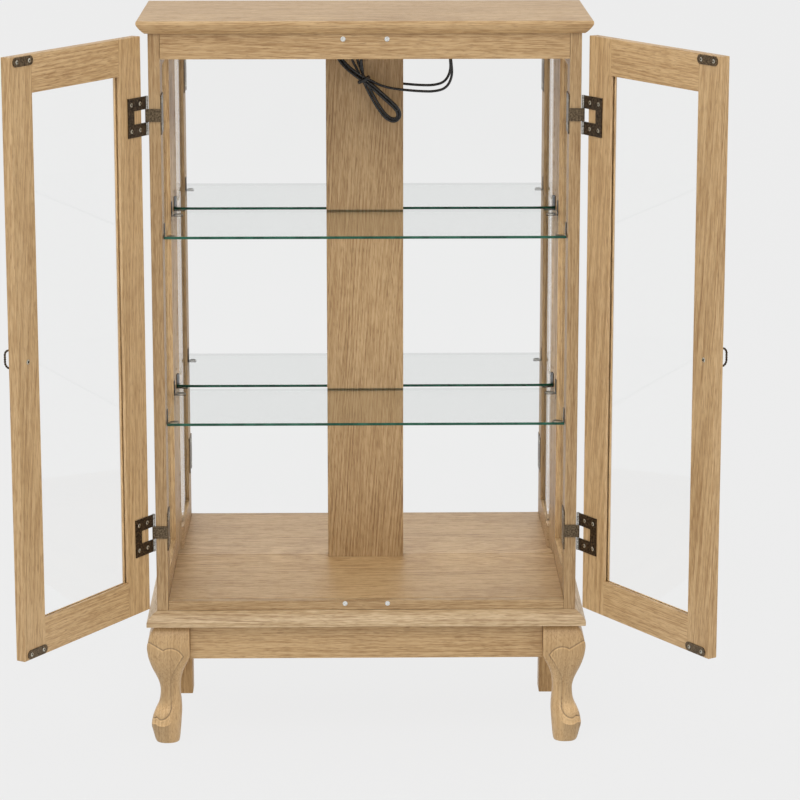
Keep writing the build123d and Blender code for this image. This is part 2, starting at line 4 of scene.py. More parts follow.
import bmesh
import bpy
import numpy as np
from mathutils import Euler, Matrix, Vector


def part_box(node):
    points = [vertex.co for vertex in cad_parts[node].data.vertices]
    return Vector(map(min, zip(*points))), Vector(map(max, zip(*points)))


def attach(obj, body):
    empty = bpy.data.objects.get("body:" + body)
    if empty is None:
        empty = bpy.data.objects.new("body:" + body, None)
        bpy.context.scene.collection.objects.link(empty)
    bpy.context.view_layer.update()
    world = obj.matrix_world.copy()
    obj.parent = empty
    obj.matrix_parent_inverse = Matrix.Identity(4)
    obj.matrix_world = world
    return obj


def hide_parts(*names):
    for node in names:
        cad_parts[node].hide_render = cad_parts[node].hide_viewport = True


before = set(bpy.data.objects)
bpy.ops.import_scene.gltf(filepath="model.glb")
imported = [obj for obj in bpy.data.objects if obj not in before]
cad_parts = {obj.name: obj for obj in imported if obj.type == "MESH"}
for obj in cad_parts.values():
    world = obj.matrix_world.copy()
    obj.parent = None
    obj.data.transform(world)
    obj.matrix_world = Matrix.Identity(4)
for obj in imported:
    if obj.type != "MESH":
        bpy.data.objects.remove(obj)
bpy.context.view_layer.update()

# Millimetres in the tables below, metres in the meshes. y is counted from the case's
# front plane, as in the construction.
MM = 0.001
FRONT = -3.2
CASE_HALF = 295.0
HINGE_ZS = (309.5, 898.3)
OPEN_DEG = 122.0
PIVOT = (-297.6, -1.0)
AX, AY = cos(radians(-OPEN_DEG)), sin(radians(-OPEN_DEG))
FX, FY = AY, -AX


def at(x, y, z):
    return Vector((x * MM, (FRONT + y) * MM, z * MM))


def at_door(side, a, f, z):
    """A point of a door: a along it from its pivot, f towards its front. side is -1 for the left one."""
    x = PIVOT[0] + a * AX + f * FX
    y = PIVOT[1] + a * AY + f * FY
    return at(-x if side > 0 else x, y, z)


def linear(r, g, b):
    out = []
    for c in (r, g, b):
        c /= 255.0
        out.append(c / 12.92 if c <= 0.04045 else ((c + 0.055) / 1.055) ** 2.4)
    return (*out, 1.0)


# ------------------------------------------------------------------ camera, light, floor
cam_data = bpy.data.cameras.new("camera")
cam = bpy.data.objects.new("camera", cam_data)
bpy.context.scene.collection.objects.link(cam)
cam.location = (-0.015, -4.2862, 1.494)
cam.rotation_euler = (pi / 2 - 0.2156, 0.0, -0.0146)
cam_data.sensor_width = 36.0
cam_data.lens = 142.2
cam_data.shift_x = 0.0
cam_data.shift_y = -0.05
cam_data.clip_start, cam_data.clip_end = 0.05, 200.0
bpy.context.scene.camera = cam
bpy.context.scene.view_settings.view_transform = "Standard"

world = bpy.data.worlds.new("studio")
bpy.context.scene.world = world
world.use_nodes = True
world.node_tree.nodes["Background"].inputs["Color"].default_value = (1.0, 1.0, 1.0, 1.0)
world.node_tree.nodes["Background"].inputs["Strength"].default_value = 0.85


def area_light(name, place, target, size, watts):
    data = bpy.data.lights.new(name, "AREA")
    data.shape = "RECTANGLE"
    data.size, data.size_y = size
    data.energy = watts
    lamp = bpy.data.objects.new(name, data)
    bpy.context.scene.collection.objects.link(lamp)
    lamp.location = place
    lamp.rotation_euler = (Vector(target) - Vector(place)).to_track_quat("-Z", "Y").to_euler()
    return lamp


area_light("key", (-0.9, -2.6, 3.6), (0.0, 0.0, 0.5), (3.0, 2.0), 48.0)
area_light("fill", (1.8, -3.0, 2.2), (0.0, 0.0, 0.5), (2.5, 2.5), 14.0)


# ------------------------------------------------------------------ node helpers
class Nodes:
    def __init__(self, name):
        self.material = bpy.data.materials.new(name)
        self.material.use_nodes = True
        self.tree = self.material.node_tree
        self.tree.nodes.clear()
        self.output = self.new("ShaderNodeOutputMaterial")

    def new(self, kind, **settings):
        node = self.tree.nodes.new(kind)
        for key, value in settings.items():
            setattr(node, key, value)
        return node

    def put(self, socket, value):
        if hasattr(value, "is_output"):
            self.tree.links.new(value, socket)
        else:
            socket.default_value = value

    def math(self, operation, a, b=None, c=None, clamp=False):
        node = self.new("ShaderNodeMath", operation=operation, use_clamp=clamp)
        for i, value in enumerate((a, b, c)):
            if value is not None:
                self.put(node.inputs[i], value)
        return node.outputs[0]

    def vector(self, operation, a, b=None):
        node = self.new("ShaderNodeVectorMath", operation=operation)
        self.put(node.inputs[0], a)
        if b is not None:
            self.put(node.inputs[1], b)
        return node.outputs["Value"] if operation in ("LENGTH", "DOT_PRODUCT") else node.outputs["Vector"]

    def noise(self, vector, scale=1.0, detail=2.0, roughness=0.5, distortion=0.0):
        node = self.new("ShaderNodeTexNoise")
        self.put(node.inputs["Vector"], vector)
        node.inputs["Scale"].default_value = scale
        node.inputs["Detail"].default_value = detail
        node.inputs["Roughness"].default_value = roughness
        node.inputs["Distortion"].default_value = distortion
        return node.outputs["Fac"]

    def spread(self, value, low, high, to_low=0.0, to_high=1.0, smooth=True):
        node = self.new("ShaderNodeMapRange", interpolation_type="SMOOTHSTEP" if smooth else "LINEAR")
        self.put(node.inputs["Value"], value)
        node.inputs["From Min"].default_value = low
        node.inputs["From Max"].default_value = high
        node.inputs["To Min"].default_value = to_low
        node.inputs["To Max"].default_value = to_high
        return node.outputs["Result"]

    def mix(self, factor, a, b):
        node = self.new("ShaderNodeMix", data_type="RGBA")
        self.put(node.inputs[0], factor)
        self.put(node.inputs[6], a)
        self.put(node.inputs[7], b)
        return node.outputs[2]

    def ramp(self, value, stops):
        node = self.new("ShaderNodeValToRGB")
        ramp = node.color_ramp
        while len(ramp.elements) > 1:
            ramp.elements.remove(ramp.elements[-1])
        ramp.elements[0].position = stops[0][0]
        ramp.elements[0].color = stops[0][1]
        for position, colour in stops[1:]:
            ramp.elements.new(position).color = colour
        self.put(node.inputs["Fac"], value)
        return node.outputs["Color"]

    def bump(self, height, distance, strength=1.0):
        node = self.new("ShaderNodeBump")
        node.inputs["Distance"].default_value = distance
        node.inputs["Strength"].default_value = strength
        self.put(node.inputs["Height"], height)
        return node.outputs["Normal"]

    def principled(self, **values):
        node = self.new("ShaderNodeBsdfPrincipled")
        for key, value in values.items():
            self.put(node.inputs[key.replace("_", " ")], value)
        self.tree.links.new(node.outputs[0], self.output.inputs["Surface"])
        return node

    def object_coordinates(self):
        return self.new("ShaderNodeTexCoord").outputs["Object"]


ALONG = {
    "x": (0.0, 0.0, 0.0),
    "y": (0.0, 0.0, pi / 2),
    "z": (0.0, -pi / 2, 0.0),
    "left_door": (0.0, 0.0, radians(-122.0)),
    "right_door": (0.0, 0.0, radians(-58.0)),
}
OAKS = {}


def oak(key, along, heart=(0.0, 0.09), lean=(0.0, 0.0), tone=1.0, figure=1.0, start=(0.0, 0.0, 0.0), sides=False, warm=0.0,
        fine=1.0, relief_painted_light=False):
    """Light oak. The grain runs along the member; heart is where the tree's middle lies
    across it, in metres, and lean tilts it, which draws the arched figure of a flat-sawn face."""
    if key in OAKS:
        return OAKS[key]
    g = Nodes("oak_" + key)
    place = g.object_coordinates()
    if sides:
        # outside the mitres at the front corners the moulding runs front to back
        parts = g.new("ShaderNodeSeparateXYZ")
        g.put(parts.inputs[0], place)
        out_x = g.math("SUBTRACT", g.math("ABSOLUTE", parts.outputs[0]), CASE_HALF * MM)
        out_y = g.math("MAXIMUM", g.math("SUBTRACT", FRONT * MM, parts.outputs[1]), 0.0)
        side = g.math("GREATER_THAN", out_x, out_y)
        # the board's own top surface is one sheet
        side = g.math("MULTIPLY", side, g.math("LESS_THAN", parts.outputs[2], 1.0272))
        turned = g.new("ShaderNodeCombineXYZ")
        g.put(turned.inputs[0], parts.outputs[1])
        g.put(turned.inputs[1], parts.outputs[0])
        g.put(turned.inputs[2], parts.outputs[2])
        chosen = g.new("ShaderNodeMix", data_type="VECTOR")
        g.put(chosen.inputs[0], side)
        g.put(chosen.inputs[4], place)
        g.put(chosen.inputs[5], turned.outputs[0])
        place = chosen.outputs[1]
    mapping = g.new("ShaderNodeMapping", vector_type="TEXTURE")
    g.put(mapping.inputs["Vector"], place)
    mapping.inputs["Location"].default_value = start
    mapping.inputs["Rotation"].default_value = ALONG[along]
    p = mapping.outputs["Vector"]
    xyz = g.new("ShaderNodeSeparateXYZ")
    g.put(xyz.inputs[0], p)
    grain, across, deep = xyz.outputs

    slow = g.noise(g.vector("MULTIPLY", p, (2.6, 17.0, 17.0)), detail=2.0, roughness=0.55)
    wave = g.noise(g.vector("MULTIPLY", p, (9.0, 60.0, 60.0)), detail=2.0, roughness=0.5)
    tint = g.noise(g.vector("MULTIPLY", p, (5.0, 22.0, 22.0)), detail=2.0, roughness=0.5)

    u = g.math("SUBTRACT", g.math("MULTIPLY_ADD", grain, lean[0], across), heart[0])
    v = g.math("SUBTRACT", g.math("MULTIPLY_ADD", grain, lean[1], deep), heart[1])
    r = g.math("SQRT", g.math("ADD", g.math("MULTIPLY", u, u), g.math("MULTIPLY", v, v)))
    r = g.math("MULTIPLY_ADD", slow, 0.013, r)
    r = g.math("MULTIPLY_ADD", wave, 0.0017, r)
    rings = g.math("FRACT", g.math("DIVIDE", r, 0.0049))
    ring = g.ramp(rings, [(0.0, (1, 1, 1, 1)), (0.10, (0.85,) * 3 + (1,)), (0.34, (0.30,) * 3 + (1,)),
                          (0.70, (0.06,) * 3 + (1,)), (0.93, (0.30,) * 3 + (1,)), (1.0, (1, 1, 1, 1))])
    # each year's ring differs in strength
    year = g.new("ShaderNodeTexWhiteNoise", noise_dimensions="1D")
    g.put(year.inputs["W"], g.math("FLOOR", g.math("DIVIDE", r, 0.0049)))
    strength = g.math("MULTIPLY_ADD", year.outputs["Value"], 0.75, 0.35)
    ring = g.math("MULTIPLY", ring, strength)

    # short fibres, coarse and fine, and the open pores among them
    fibre = g.noise(g.vector("MULTIPLY", p, (48.0, 700.0, 700.0)), detail=1.5, roughness=0.5)
    # longer lines, which keep to the rings' course
    course = g.new("ShaderNodeCombineXYZ")
    g.put(course.inputs[0], g.math("MULTIPLY", grain, 8.0))
    g.put(course.inputs[1], g.math("MULTIPLY", r, 430.0))
    g.put(course.inputs[2], g.math("MULTIPLY", deep, 20.0))
    line = g.noise(course.outputs[0], detail=2.0, roughness=0.55)
    pore = g.noise(g.vector("MULTIPLY", p, (90.0, 900.0, 900.0)), detail=1.0, roughness=0.5)
    pore = g.spread(pore, 0.55, 0.68)

    dark = g.math("MULTIPLY", ring, g.spread(tint, 0.32, 0.68, 0.08 * figure, 0.38 * figure))
    dark = g.math("ADD", dark, g.spread(fibre, 0.36, 0.64, 0.17 - 0.19 * fine, 0.17 + 0.19 * fine))
    dark = g.math("ADD", dark, g.spread(line, 0.36, 0.64, -0.16 * fine, 0.20 * fine))
    dark = g.math("ADD", dark, g.spread(slow, 0.30, 0.70, -0.05, 0.08), clamp=True)

    def shade(c):
        return tuple(min(1.0, x * tone * k) for x, k in zip(c[:3], (1.0 + 0.03 * warm, 1.0, 1.0 - 0.06 * warm))) + (1.0,)

    colour = g.ramp(dark, [(0.0, shade(linear(200, 167, 122))), (0.30, shade(linear(184, 150, 105))),
                           (0.62, shade(linear(163, 128, 85))), (1.0, shade(linear(130, 95, 58)))])
    pores = g.math("MULTIPLY", pore, g.math("MULTIPLY_ADD", ring, 0.30, 0.20), clamp=True)
    colour = g.mix(pores, colour, shade(linear(108, 76, 44)))
    if relief_painted_light:
        # painted shade in the carving's grooves and painted highlights on its raised edges, laid on the colour from a
        # point attribute
        painted_relief_shade = g.new("ShaderNodeAttribute", attribute_type="GEOMETRY", attribute_name="relief_painted_light")
        colour = g.vector("MULTIPLY", colour, g.math("ADD", painted_relief_shade.outputs["Fac"], 1.0))
    height = g.math("SUBTRACT", g.math("MULTIPLY", fibre, -0.35), g.math("MULTIPLY", pore, 0.65))
    rough = g.math("ADD", g.math("MULTIPLY_ADD", pore, 0.16, 0.38), g.math("MULTIPLY", fibre, 0.10))
    g.principled(Base_Color=colour, Roughness=rough, Normal=g.bump(height, 0.00020, 0.5),
                 Specular_IOR_Level=0.42)
    OAKS[key] = g.material
    return g.material


def grain_of(n):
    """Repeatable place in the log for member number n."""
    return (0.37 * n + 0.11, 0.021 * n, -0.013 * n)


def heart_beside(node, along, start, lean, away):
    """Where the tree's middle lies, given how far it is from the member's own middle."""
    low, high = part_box(node)
    p = Euler(ALONG[along]).to_matrix().transposed() @ ((low + high) / 2 - Vector(start))
    return (p.y + lean[0] * p.x + away[0], p.z + lean[1] * p.x + away[1])


# ------------------------------------------------------------------ other finishes
def finish_glass(name, tint, gloss):
    """Clear sheet glass: it lets everything through straight, with a polished surface over it."""
    g = Nodes(name)
    glass = g.new("ShaderNodeBsdfPrincipled")
    glass.inputs["Base Color"].default_value = tint
    glass.inputs["Roughness"].default_value = 0.0
    glass.inputs["IOR"].default_value = 1.0
    glass.inputs["Transmission Weight"].default_value = 1.0
    glass.inputs["Coat Weight"].default_value = gloss
    glass.inputs["Coat Roughness"].default_value = 0.0
    glass.inputs["Coat IOR"].default_value = 1.5
    clear = g.new("ShaderNodeBsdfTransparent")
    path = g.new("ShaderNodeLightPath")
    mixed = g.new("ShaderNodeMixShader")
    g.put(mixed.inputs[0], path.outputs["Is Shadow Ray"])
    g.put(mixed.inputs[1], glass.outputs[0])
    g.put(mixed.inputs[2], clear.outputs[0])
    g.put(g.output.inputs["Surface"], mixed.outputs[0])
    return g.material


def finish_glass_edge():
    """The green of a sheet's ground edge, which light crosses the long way."""
    g = Nodes("glass_edge")
    p = g.object_coordinates()
    n = g.noise(p, scale=60.0, detail=2.0)
    ground = g.principled(Base_Color=g.mix(g.spread(n, 0.35, 0.65), (0.010, 0.060, 0.036, 1.0), (0.022, 0.105, 0.066, 1.0)),
                          Roughness=0.16, Specular_IOR_Level=0.30)
    # from within the sheet the edge lets most light through
    clear = g.new("ShaderNodeBsdfTransparent")
    mixed = g.new("ShaderNodeMixShader")
    g.put(mixed.inputs[0], g.math("MULTIPLY", g.new("ShaderNodeNewGeometry").outputs["Backfacing"], 0.85))
    g.put(mixed.inputs[1], ground.outputs[0])
    g.put(mixed.inputs[2], clear.outputs[0])
    g.put(g.output.inputs["Surface"], mixed.outputs[0])
    return g.material


def finish_mirror():
    g = Nodes("silvered_mirror")
    p = g.object_coordinates()
    cloud = g.noise(p, scale=9.0, detail=3.0)
    g.principled(Base_Color=g.mix(g.spread(cloud, 0.3, 0.7), (0.984, 0.988, 0.986, 1.0), (0.990, 0.992, 0.991, 1.0)),
                 Metallic=1.0, Roughness=0.0)
    return g.material


def finish_metal(name, low, high, rough, speckle, metallic=0.85):
    g = Nodes(name)
    p = g.object_coordinates()
    coarse = g.noise(p, scale=420.0, detail=3.0, roughness=0.6)
    fine = g.noise(p, scale=1900.0, detail=2.0, roughness=0.6)
    mixed = g.math("ADD", g.math("MULTIPLY", coarse, 1.0 - speckle), g.math("MULTIPLY", fine, speckle))
    worn = g.spread(mixed, 0.38, 0.64)
    g.principled(Base_Color=g.mix(worn, low, high), Metallic=metallic,
                 Roughness=g.math("MULTIPLY_ADD", fine, 0.30, rough - 0.15),
                 Normal=g.bump(fine, 0.00006, 0.5))
    return g.material


def finish_plastic(name, low, high, rough, scale=900.0, height=0.00003):
    g = Nodes(name)
    p = g.object_coordinates()
    n = g.noise(p, scale=scale, detail=2.0)
    g.principled(Base_Color=g.mix(g.spread(n, 0.35, 0.65), low, high),
                 Roughness=g.math("MULTIPLY_ADD", n, 0.16, rough - 0.08), Normal=g.bump(n, height, 0.4))
    return g.material


GLASS_SHELF = finish_glass("shelf_glass", (0.868, 0.882, 0.876, 1.0), 0.55)
GLASS_PANE = finish_glass("pane_glass", (0.996, 1.0, 0.998, 1.0), 0.30)
GLASS_SIDE = finish_glass("side_glass", (0.996, 1.0, 0.998, 1.0), 1.0)
GLASS_EDGE = finish_glass_edge()
MIRROR = finish_mirror()
BRONZE = finish_metal("antique_bronze", linear(60, 50, 38), linear(130, 112, 88), 0.40, 0.45)
BRONZE_DARK = finish_metal("dark_bronze", linear(31, 25, 19), linear(99, 83, 64), 0.34, 0.3)
# light silver on the knuckles: painted highlight along the hinge barrels
KNUCKLE_HIGHLIGHT = finish_metal("knuckle_painted_highlight", linear(120, 118, 112), linear(196, 194, 188), 0.28, 0.3, metallic=1.0)
STEEL = finish_metal("zinc_plate", linear(176, 172, 158), linear(226, 222, 206), 0.30, 0.3, metallic=1.0)
# dark finish: painted shade in the screws' cross slots and head centres, and the mirror panes' edges and backs
SLOT_SHADE_AND_MIRROR_EDGE = finish_metal("screw_slot_shade_and_mirror_edge", linear(34, 30, 25), linear(66, 58, 48), 0.50, 0.4)
NICKEL = finish_metal("nickel_plate", linear(206, 206, 202), linear(236, 236, 232), 0.28, 0.3, metallic=0.9)
SUPPORT = finish_plastic("support_black", linear(30, 29, 28), linear(52, 49, 45), 0.38)
PAD = finish_plastic("support_pad", linear(146, 140, 124), linear(176, 170, 154), 0.30)
SHELL = finish_plastic("lamp_shell", linear(196, 196, 193), linear(214, 214, 210), 0.42)
DIFFUSER = finish_plastic("lamp_diffuser", linear(232, 232, 226), linear(243, 243, 238), 0.45)
CLIP = finish_plastic("clip_plastic", linear(24, 24, 25), linear(38, 38, 38), 0.45)
CORD = finish_plastic("cord_sheath", linear(17, 17, 18), linear(34, 33, 32), 0.27, scale=1400.0)
RUBBER = finish_plastic("plug_rubber", linear(18, 18, 19), linear(33, 33, 33), 0.42)


# ------------------------------------------------------------------ mesh helpers
def link_piece(name, mesh, body, replaced=(), weighted=False):
    piece = bpy.data.objects.new(name, mesh)
    bpy.context.scene.collection.objects.link(piece)
    if weighted:
        modifier = piece.modifiers.new("weighted", "WEIGHTED_NORMAL")
        modifier.mode = "FACE_AREA"
        modifier.weight = 50
        modifier.keep_sharp = True
    for node in replaced:
        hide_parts(node)
    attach(piece, body)
    return piece


def softened(node, body, materials, width=0.5, inset=0.0, pick=None, segments=2, sharp=38.0, merge=0.4):
    """A copy of a constructed piece with its sharp edges eased, as a new piece that stands for it."""
    bm = bmesh.new()
    bm.from_mesh(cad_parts[node].data)
    bmesh.ops.remove_doubles(bm, verts=bm.verts, dist=2e-6)
    bmesh.ops.dissolve_limit(bm, angle_limit=radians(merge), verts=bm.verts, edges=bm.edges)
    if inset:
        low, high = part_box(node)
        middle, size = (low + high) / 2, high - low
        scale = [max(0.5, (s - 2 * i * MM) / s) for s, i in zip(size, inset)]
        for vert in bm.verts:
            vert.co = middle + Vector([(c - m) * k for c, m, k in zip(vert.co, middle, scale)])
    edges = [e for e in bm.edges if len(e.link_faces) == 2 and e.calc_face_angle(0.0) > radians(28.0)]
    if width:
        bmesh.ops.bevel(bm, geom=edges, offset=width * MM, offset_type="OFFSET", segments=segments,
                        profile=0.5, affect="EDGES", clamp_overlap=True)
    bm.normal_update()
    for face in bm.faces:
        face.smooth = True
        face.material_index = pick(face) if pick else 0
    mesh = bpy.data.meshes.new(node + "_finished")
    bm.to_mesh(mesh)
    bm.free()
    for layer in ("custom_normal",):
        if layer in mesh.attributes:
            mesh.attributes.remove(mesh.attributes[layer])
    mesh.set_sharp_from_angle(angle=radians(sharp))
    for material in materials if isinstance(materials, (list, tuple)) else [materials]:
        mesh.materials.append(material)
    return link_piece(node + "_finished", mesh, body, [node], weighted=True)


def mesh_piece(name, verts, faces, materials, body, replaced=(), indices=None, sharp=40.0, weighted=False):
    mesh = bpy.data.meshes.new(name)
    mesh.from_pydata([tuple(v) for v in verts], [], faces)
    mesh.polygons.foreach_set("use_smooth", [True] * len(mesh.polygons))
    for material in materials:
        mesh.materials.append(material)
    if indices is not None:
        mesh.polygons.foreach_set("material_index", indices)
    mesh.update()
    mesh.set_sharp_from_angle(angle=radians(sharp))
    return link_piece(name, mesh, body, replaced, weighted)


class Builder:
    """Collects vertices, faces and the faces' materials of one piece."""

    def __init__(self):
        self.verts, self.faces, self.index = [], [], []

    def add(self, verts, faces, index=0):
        base = len(self.verts)
        self.verts += [Vector(v) for v in verts]
        for face in faces:
            self.faces.append([base + i for i in face])
            self.index.append(index)

    def rings(self, loops, index=0, cap_start=True, cap_end=True, closed=False):
        """Skin between loops of equal point count, each a closed ring."""
        n = len(loops[0])
        base = len(self.verts)
        for loop in loops:
            self.verts += [Vector(v) for v in loop]
        count = len(loops)
        for k in range(count if closed else count - 1):
            a, b = base + k * n, base + ((k + 1) % count) * n
            for i in range(n):
                j = (i + 1) % n
                self.faces.append([a + i, a + j, b + j, b + i])
                self.index.append(index)
        if not closed:
            if cap_start:
                self.faces.append([base + i for i in reversed(range(n))])
                self.index.append(index)
            if cap_end:
                last = base + (count - 1) * n
                self.faces.append([last + i for i in range(n)])
                self.index.append(index)

    def piece(self, name, materials, body, slot, replaced=(), sharp=40.0, weighted=False):
        piece = mesh_piece(name, self.verts, self.faces, materials, body, replaced, self.index, sharp, weighted)
        bm = bmesh.new()
        bm.from_mesh(piece.data)
        bmesh.ops.recalc_face_normals(bm, faces=bm.faces)
        bm.to_mesh(piece.data)
        bm.free()
        piece.data.set_sharp_from_angle(angle=radians(sharp))
        return piece


# ------------------------------------------------------------------ case boards
BOARDS = {
    # node: (grain key, along, heart, lean, tone, figure, bevel, inset); the heart of a board
    # that lies along x or y is counted from the board's own middle
    "top_panel": ("top", "x", (-0.10, -0.12), (0.01, 0.012), 1.0, 0.9, 0.35, (0, 0, 0)),
    # the base board's higher tone is painted light: a painted sheen and light from above on its moulded front
    "base_panel": ("base", "x", (-0.10, -0.11), (0.01, 0.008), 1.17, 0.85, 0.35, (0, 0, 0)),
    "floor_panel": ("floor", "x", (0.08, -0.085), (0.05, 0.05), 0.97, 0.8, 0.5, (0.25, 0.25, 0.0)),
    "top_rail": ("top_rail", "x", (0.03, -0.13), (0.0, 0.020), 0.90, 0.95, 0.4, (0.3, 0.0, 0.15)),
    "bottom_rail": ("bottom_rail", "x", (0.03, -0.12), (0.0, 0.012), 0.83, 0.9, 0.45, (0.3, 0.0, 0.45)),
    "left_front_stile": ("left_front_stile", "z", (0.05, 0.09), (0.02, 0.0), 0.82, 1.1, 0.4, (0.0, 0.1, 0.2)),
    "right_front_stile": ("right_front_stile", "z", (-0.06, 0.10), (-0.02, 0.0), 0.82, 1.1, 0.4, (0.0, 0.1, 0.2)),
    "left_rear_stile": ("left_rear_stile", "z", (0.08, -0.10), (0.02, 0.0), 0.97, 1.0, 0.4, (0.0, 0.1, 0.2)),
    "right_rear_stile": ("right_rear_stile", "z", (-0.07, -0.10), (0.02, 0.0), 0.97, 1.0, 0.4, (0.0, 0.1, 0.2)),
    "left_side_top_rail": ("left_side_rail", "y", (0.03, -0.12), (0.0, 0.015), 0.97, 0.9, 0.4, (0.0, 0.1, 0.2)),
    "right_side_top_rail": ("right_side_rail", "y", (-0.03, -0.12), (0.0, 0.015), 0.97, 0.9, 0.4, (0.0, 0.1, 0.2)),
    "left_side_bottom_rail": ("left_side_low", "y", (0.03, -0.13), (0.0, -0.015), 0.97, 0.9, 0.4, (0.0, 0.1, 0.2)),
    "right_side_bottom_rail": ("right_side_low", "y", (-0.03, -0.13), (0.0, -0.015), 0.97, 0.9, 0.4, (0.0, 0.1, 0.2)),
    "centre_back_strip": ("strip", "z", (0.02, 0.16), (0.015, 0.075), 0.80, 1.25, 0.3, (0.0, 0.0, 0.1)),
    "front_apron": ("front_apron", "x", (0.03, 0.13), (0.0, 0.014), 0.95, 0.95, 0.4, (0.4, 0.0, 0.15)),
    "back_apron": ("back_apron", "x", (-0.03, 0.12), (0.0, 0.02), 0.97, 0.9, 0.4, (0.3, 0.0, 0.15)),
    "left_apron": ("left_apron", "y", (0.03, 0.12), (0.0, 0.02), 0.97, 0.9, 0.4, (0.0, 0.3, 0.15)),
    "right_apron": ("right_apron", "y", (-0.03, 0.11), (0.0, 0.02), 0.97, 0.9, 0.4, (0.0, 0.3, 0.15)),
    "left_rear_leg": ("left_rear_leg", "z", (0.09, 0.10), (0.02, 0.0), 0.72, 1.0, 0.4, (0.0, 0.0, 0.05)),
    "right_rear_leg": ("right_rear_leg", "z", (0.07, 0.12), (0.02, 0.0), 0.72, 1.0, 0.4, (0.0, 0.0, 0.05)),
    "back_panel": ("back_panel", "z", (0.20, 0.30), (0.02, 0.05), 0.80, 1.0, 0.3, (0.0, 0.0, 0.1)),
}
for number, (node, (key, along, heart, lean, tone, figure, bevel, inset)) in enumerate(BOARDS.items()):
    if along != "z":
        heart = heart_beside(node, along, grain_of(number), lean, heart)
    # base_panel's negative warmth greys its colour for the painted sheen
    wood = oak(key, along, heart, lean, tone, figure, grain_of(number), sides=node in ("top_panel", "base_panel"),
               warm={"base_panel": -3.2, "left_rear_leg": 3.0, "right_rear_leg": 3.0}.get(node, 0.0), fine=1.0 if along == "x" else 0.95)
    softened(node, "case", wood, width=bevel, inset=inset)

# ------------------------------------------------------------------ doors: frames and glass
for side, name in ((-1, "left"), (1, "right")):
    body = name + "_door"
    turn = name + "_door"
    for number, (part, along, heart, lean, tone) in enumerate((
            ("hinge_stile", "z", (0.06 * side, 0.12), (0.0, 0.02), 1.03),
            ("lock_stile", "z", (0.10 * side, 0.10), (0.0, 0.045), 1.0),
            ("top_rail", turn, (0.03, -0.12), (0.0, 0.020), 1.04),
            ("bottom_rail", turn, (0.02, -0.13), (0.0, -0.016), 1.02))):
        seed = 40 + number * 3 + (17 if side > 0 else 0)
        rail = along == turn
        if rail:
            heart = heart_beside(f"{name}_door_{part}", along, grain_of(seed), lean, heart)
        wood = oak(f"{name}_door_{part}", along, heart, lean, tone, 0.8 if rail else 0.95, grain_of(seed), fine=0.9 if rail else 0.95)
        softened(f"{name}_door_{part}", body, wood, width=0.3, merge=0.3)
    softened(f"{name}_door_glass", body, GLASS_PANE, width=0.25, segments=1)
    softened(f"{name}_side_glass", "case", GLASS_SIDE, width=0.25, segments=1)
for node in ("upper_shelf", "lower_shelf"):
    softened(node, "case", [GLASS_SHELF, GLASS_EDGE], width=0.45, segments=2,
             pick=lambda face: 0 if abs(face.normal.z) > 0.55 else 1)

# ------------------------------------------------------------------ mirrors
# Thin panes with a bevelled outer edge, held forward by the strip in the middle and drawn
# back a little beside the sides.
def drawn_back(x):
    """How far the pane's face falls back at x: a ground bevel at the outer edge, and a slow curve beside it."""
    inward = 279.0 - x
    total = 0.0
    for k in range(200):
        d = -5.0 + 0.25 * (k + 0.5)
        if d < inward:
            continue
        total += 0.25 * float(np.interp(d, (3.3, 6.4, 10.6, 10.9, 19.4, 23.0, 42.0), (0.030, 0.073, 0.098, 0.042, 0.0226, 0.019, 0.0)))
    return total


for side, name in ((-1, "left"), (1, "right")):
    x0, x1, z0, z1 = 30.2, 283.6, 195.2, 1009.6
    stations = [x0, 90.0, 150.0, 200.0] + [236.0 + 0.6 * k for k in range(76)] + [x1]
    across, up = len(stations) - 1, 6
    fall = [drawn_back(x) for x in stations]
    pane = Builder()
    front = []
    for j in range(up + 1):
        for i in range(across + 1):
            x = stations[i]
            z = z0 + (z1 - z0) * j / up
            front.append(at(side * x, 238.3 + fall[i], z))
    row = across + 1
    quads = [[j * row + i, j * row + i + 1, (j + 1) * row + i + 1, (j + 1) * row + i]
             for j in range(up) for i in range(across)]
    pane.add(front, quads, 0)
    rim = ([(i, 0) for i in range(across)] + [(across, j) for j in range(up)]
           + [(i, up) for i in range(across, 0, -1)] + [(0, j) for j in range(up, 0, -1)])
    base = len(pane.verts)
    for i, j in rim:
        p = front[j * row + i]
        pane.verts.append(Vector((p.x, (FRONT + 240.95) * MM, p.z)))
    count = len(rim)
    for k, (i, j) in enumerate(rim):
        i2, j2 = rim[(k + 1) % count]
        pane.faces.append([j * row + i, j2 * row + i2, base + (k + 1) % count, base + k])
        pane.index.append(1)
    pane.faces.append([base + k for k in range(count)])
    pane.index.append(1)
    pane.piece(name + "_mirror_pane", [MIRROR, SLOT_SHADE_AND_MIRROR_EDGE], "case", "mirror", [name + "_mirror"], sharp=30.0)

# ------------------------------------------------------------------ cord
# The lead from the lamp's gland to the waist of the hank, the hank's turns, and the end
# that carries the connector. x, y from the front plane, z.
ROUTE = [
    (40.0, 118.0, 1003.0), (57.0, 118.0, 1003.0), (81.0, 122.0, 1003.6), (105.0, 134.0, 1004.0),
    (120.5, 155.0, 1004.0), (124.5, 180.0, 1003.0), (122.5, 199.0, 998.0), (121.0, 208.0, 983.0),
    (121.0, 207.0, 965.0), (123.8, 204.6, 945.0), (125.2, 204.0, 925.0), (117.0, 204.0, 908.3),
    (100.0, 204.0, 903.4), (80.0, 204.0, 903.8), (58.0, 204.0, 905.6), (36.0, 204.0, 908.4),
    (20.0, 203.0, 913.5), (9.0, 200.0, 920.0),
]
TAIL = [(-41.0, 204.0, 993.0), (-49.0, 204.0, 993.0), (-57.0, 204.0, 995.5), (-65.0, 204.0, 995.5)]
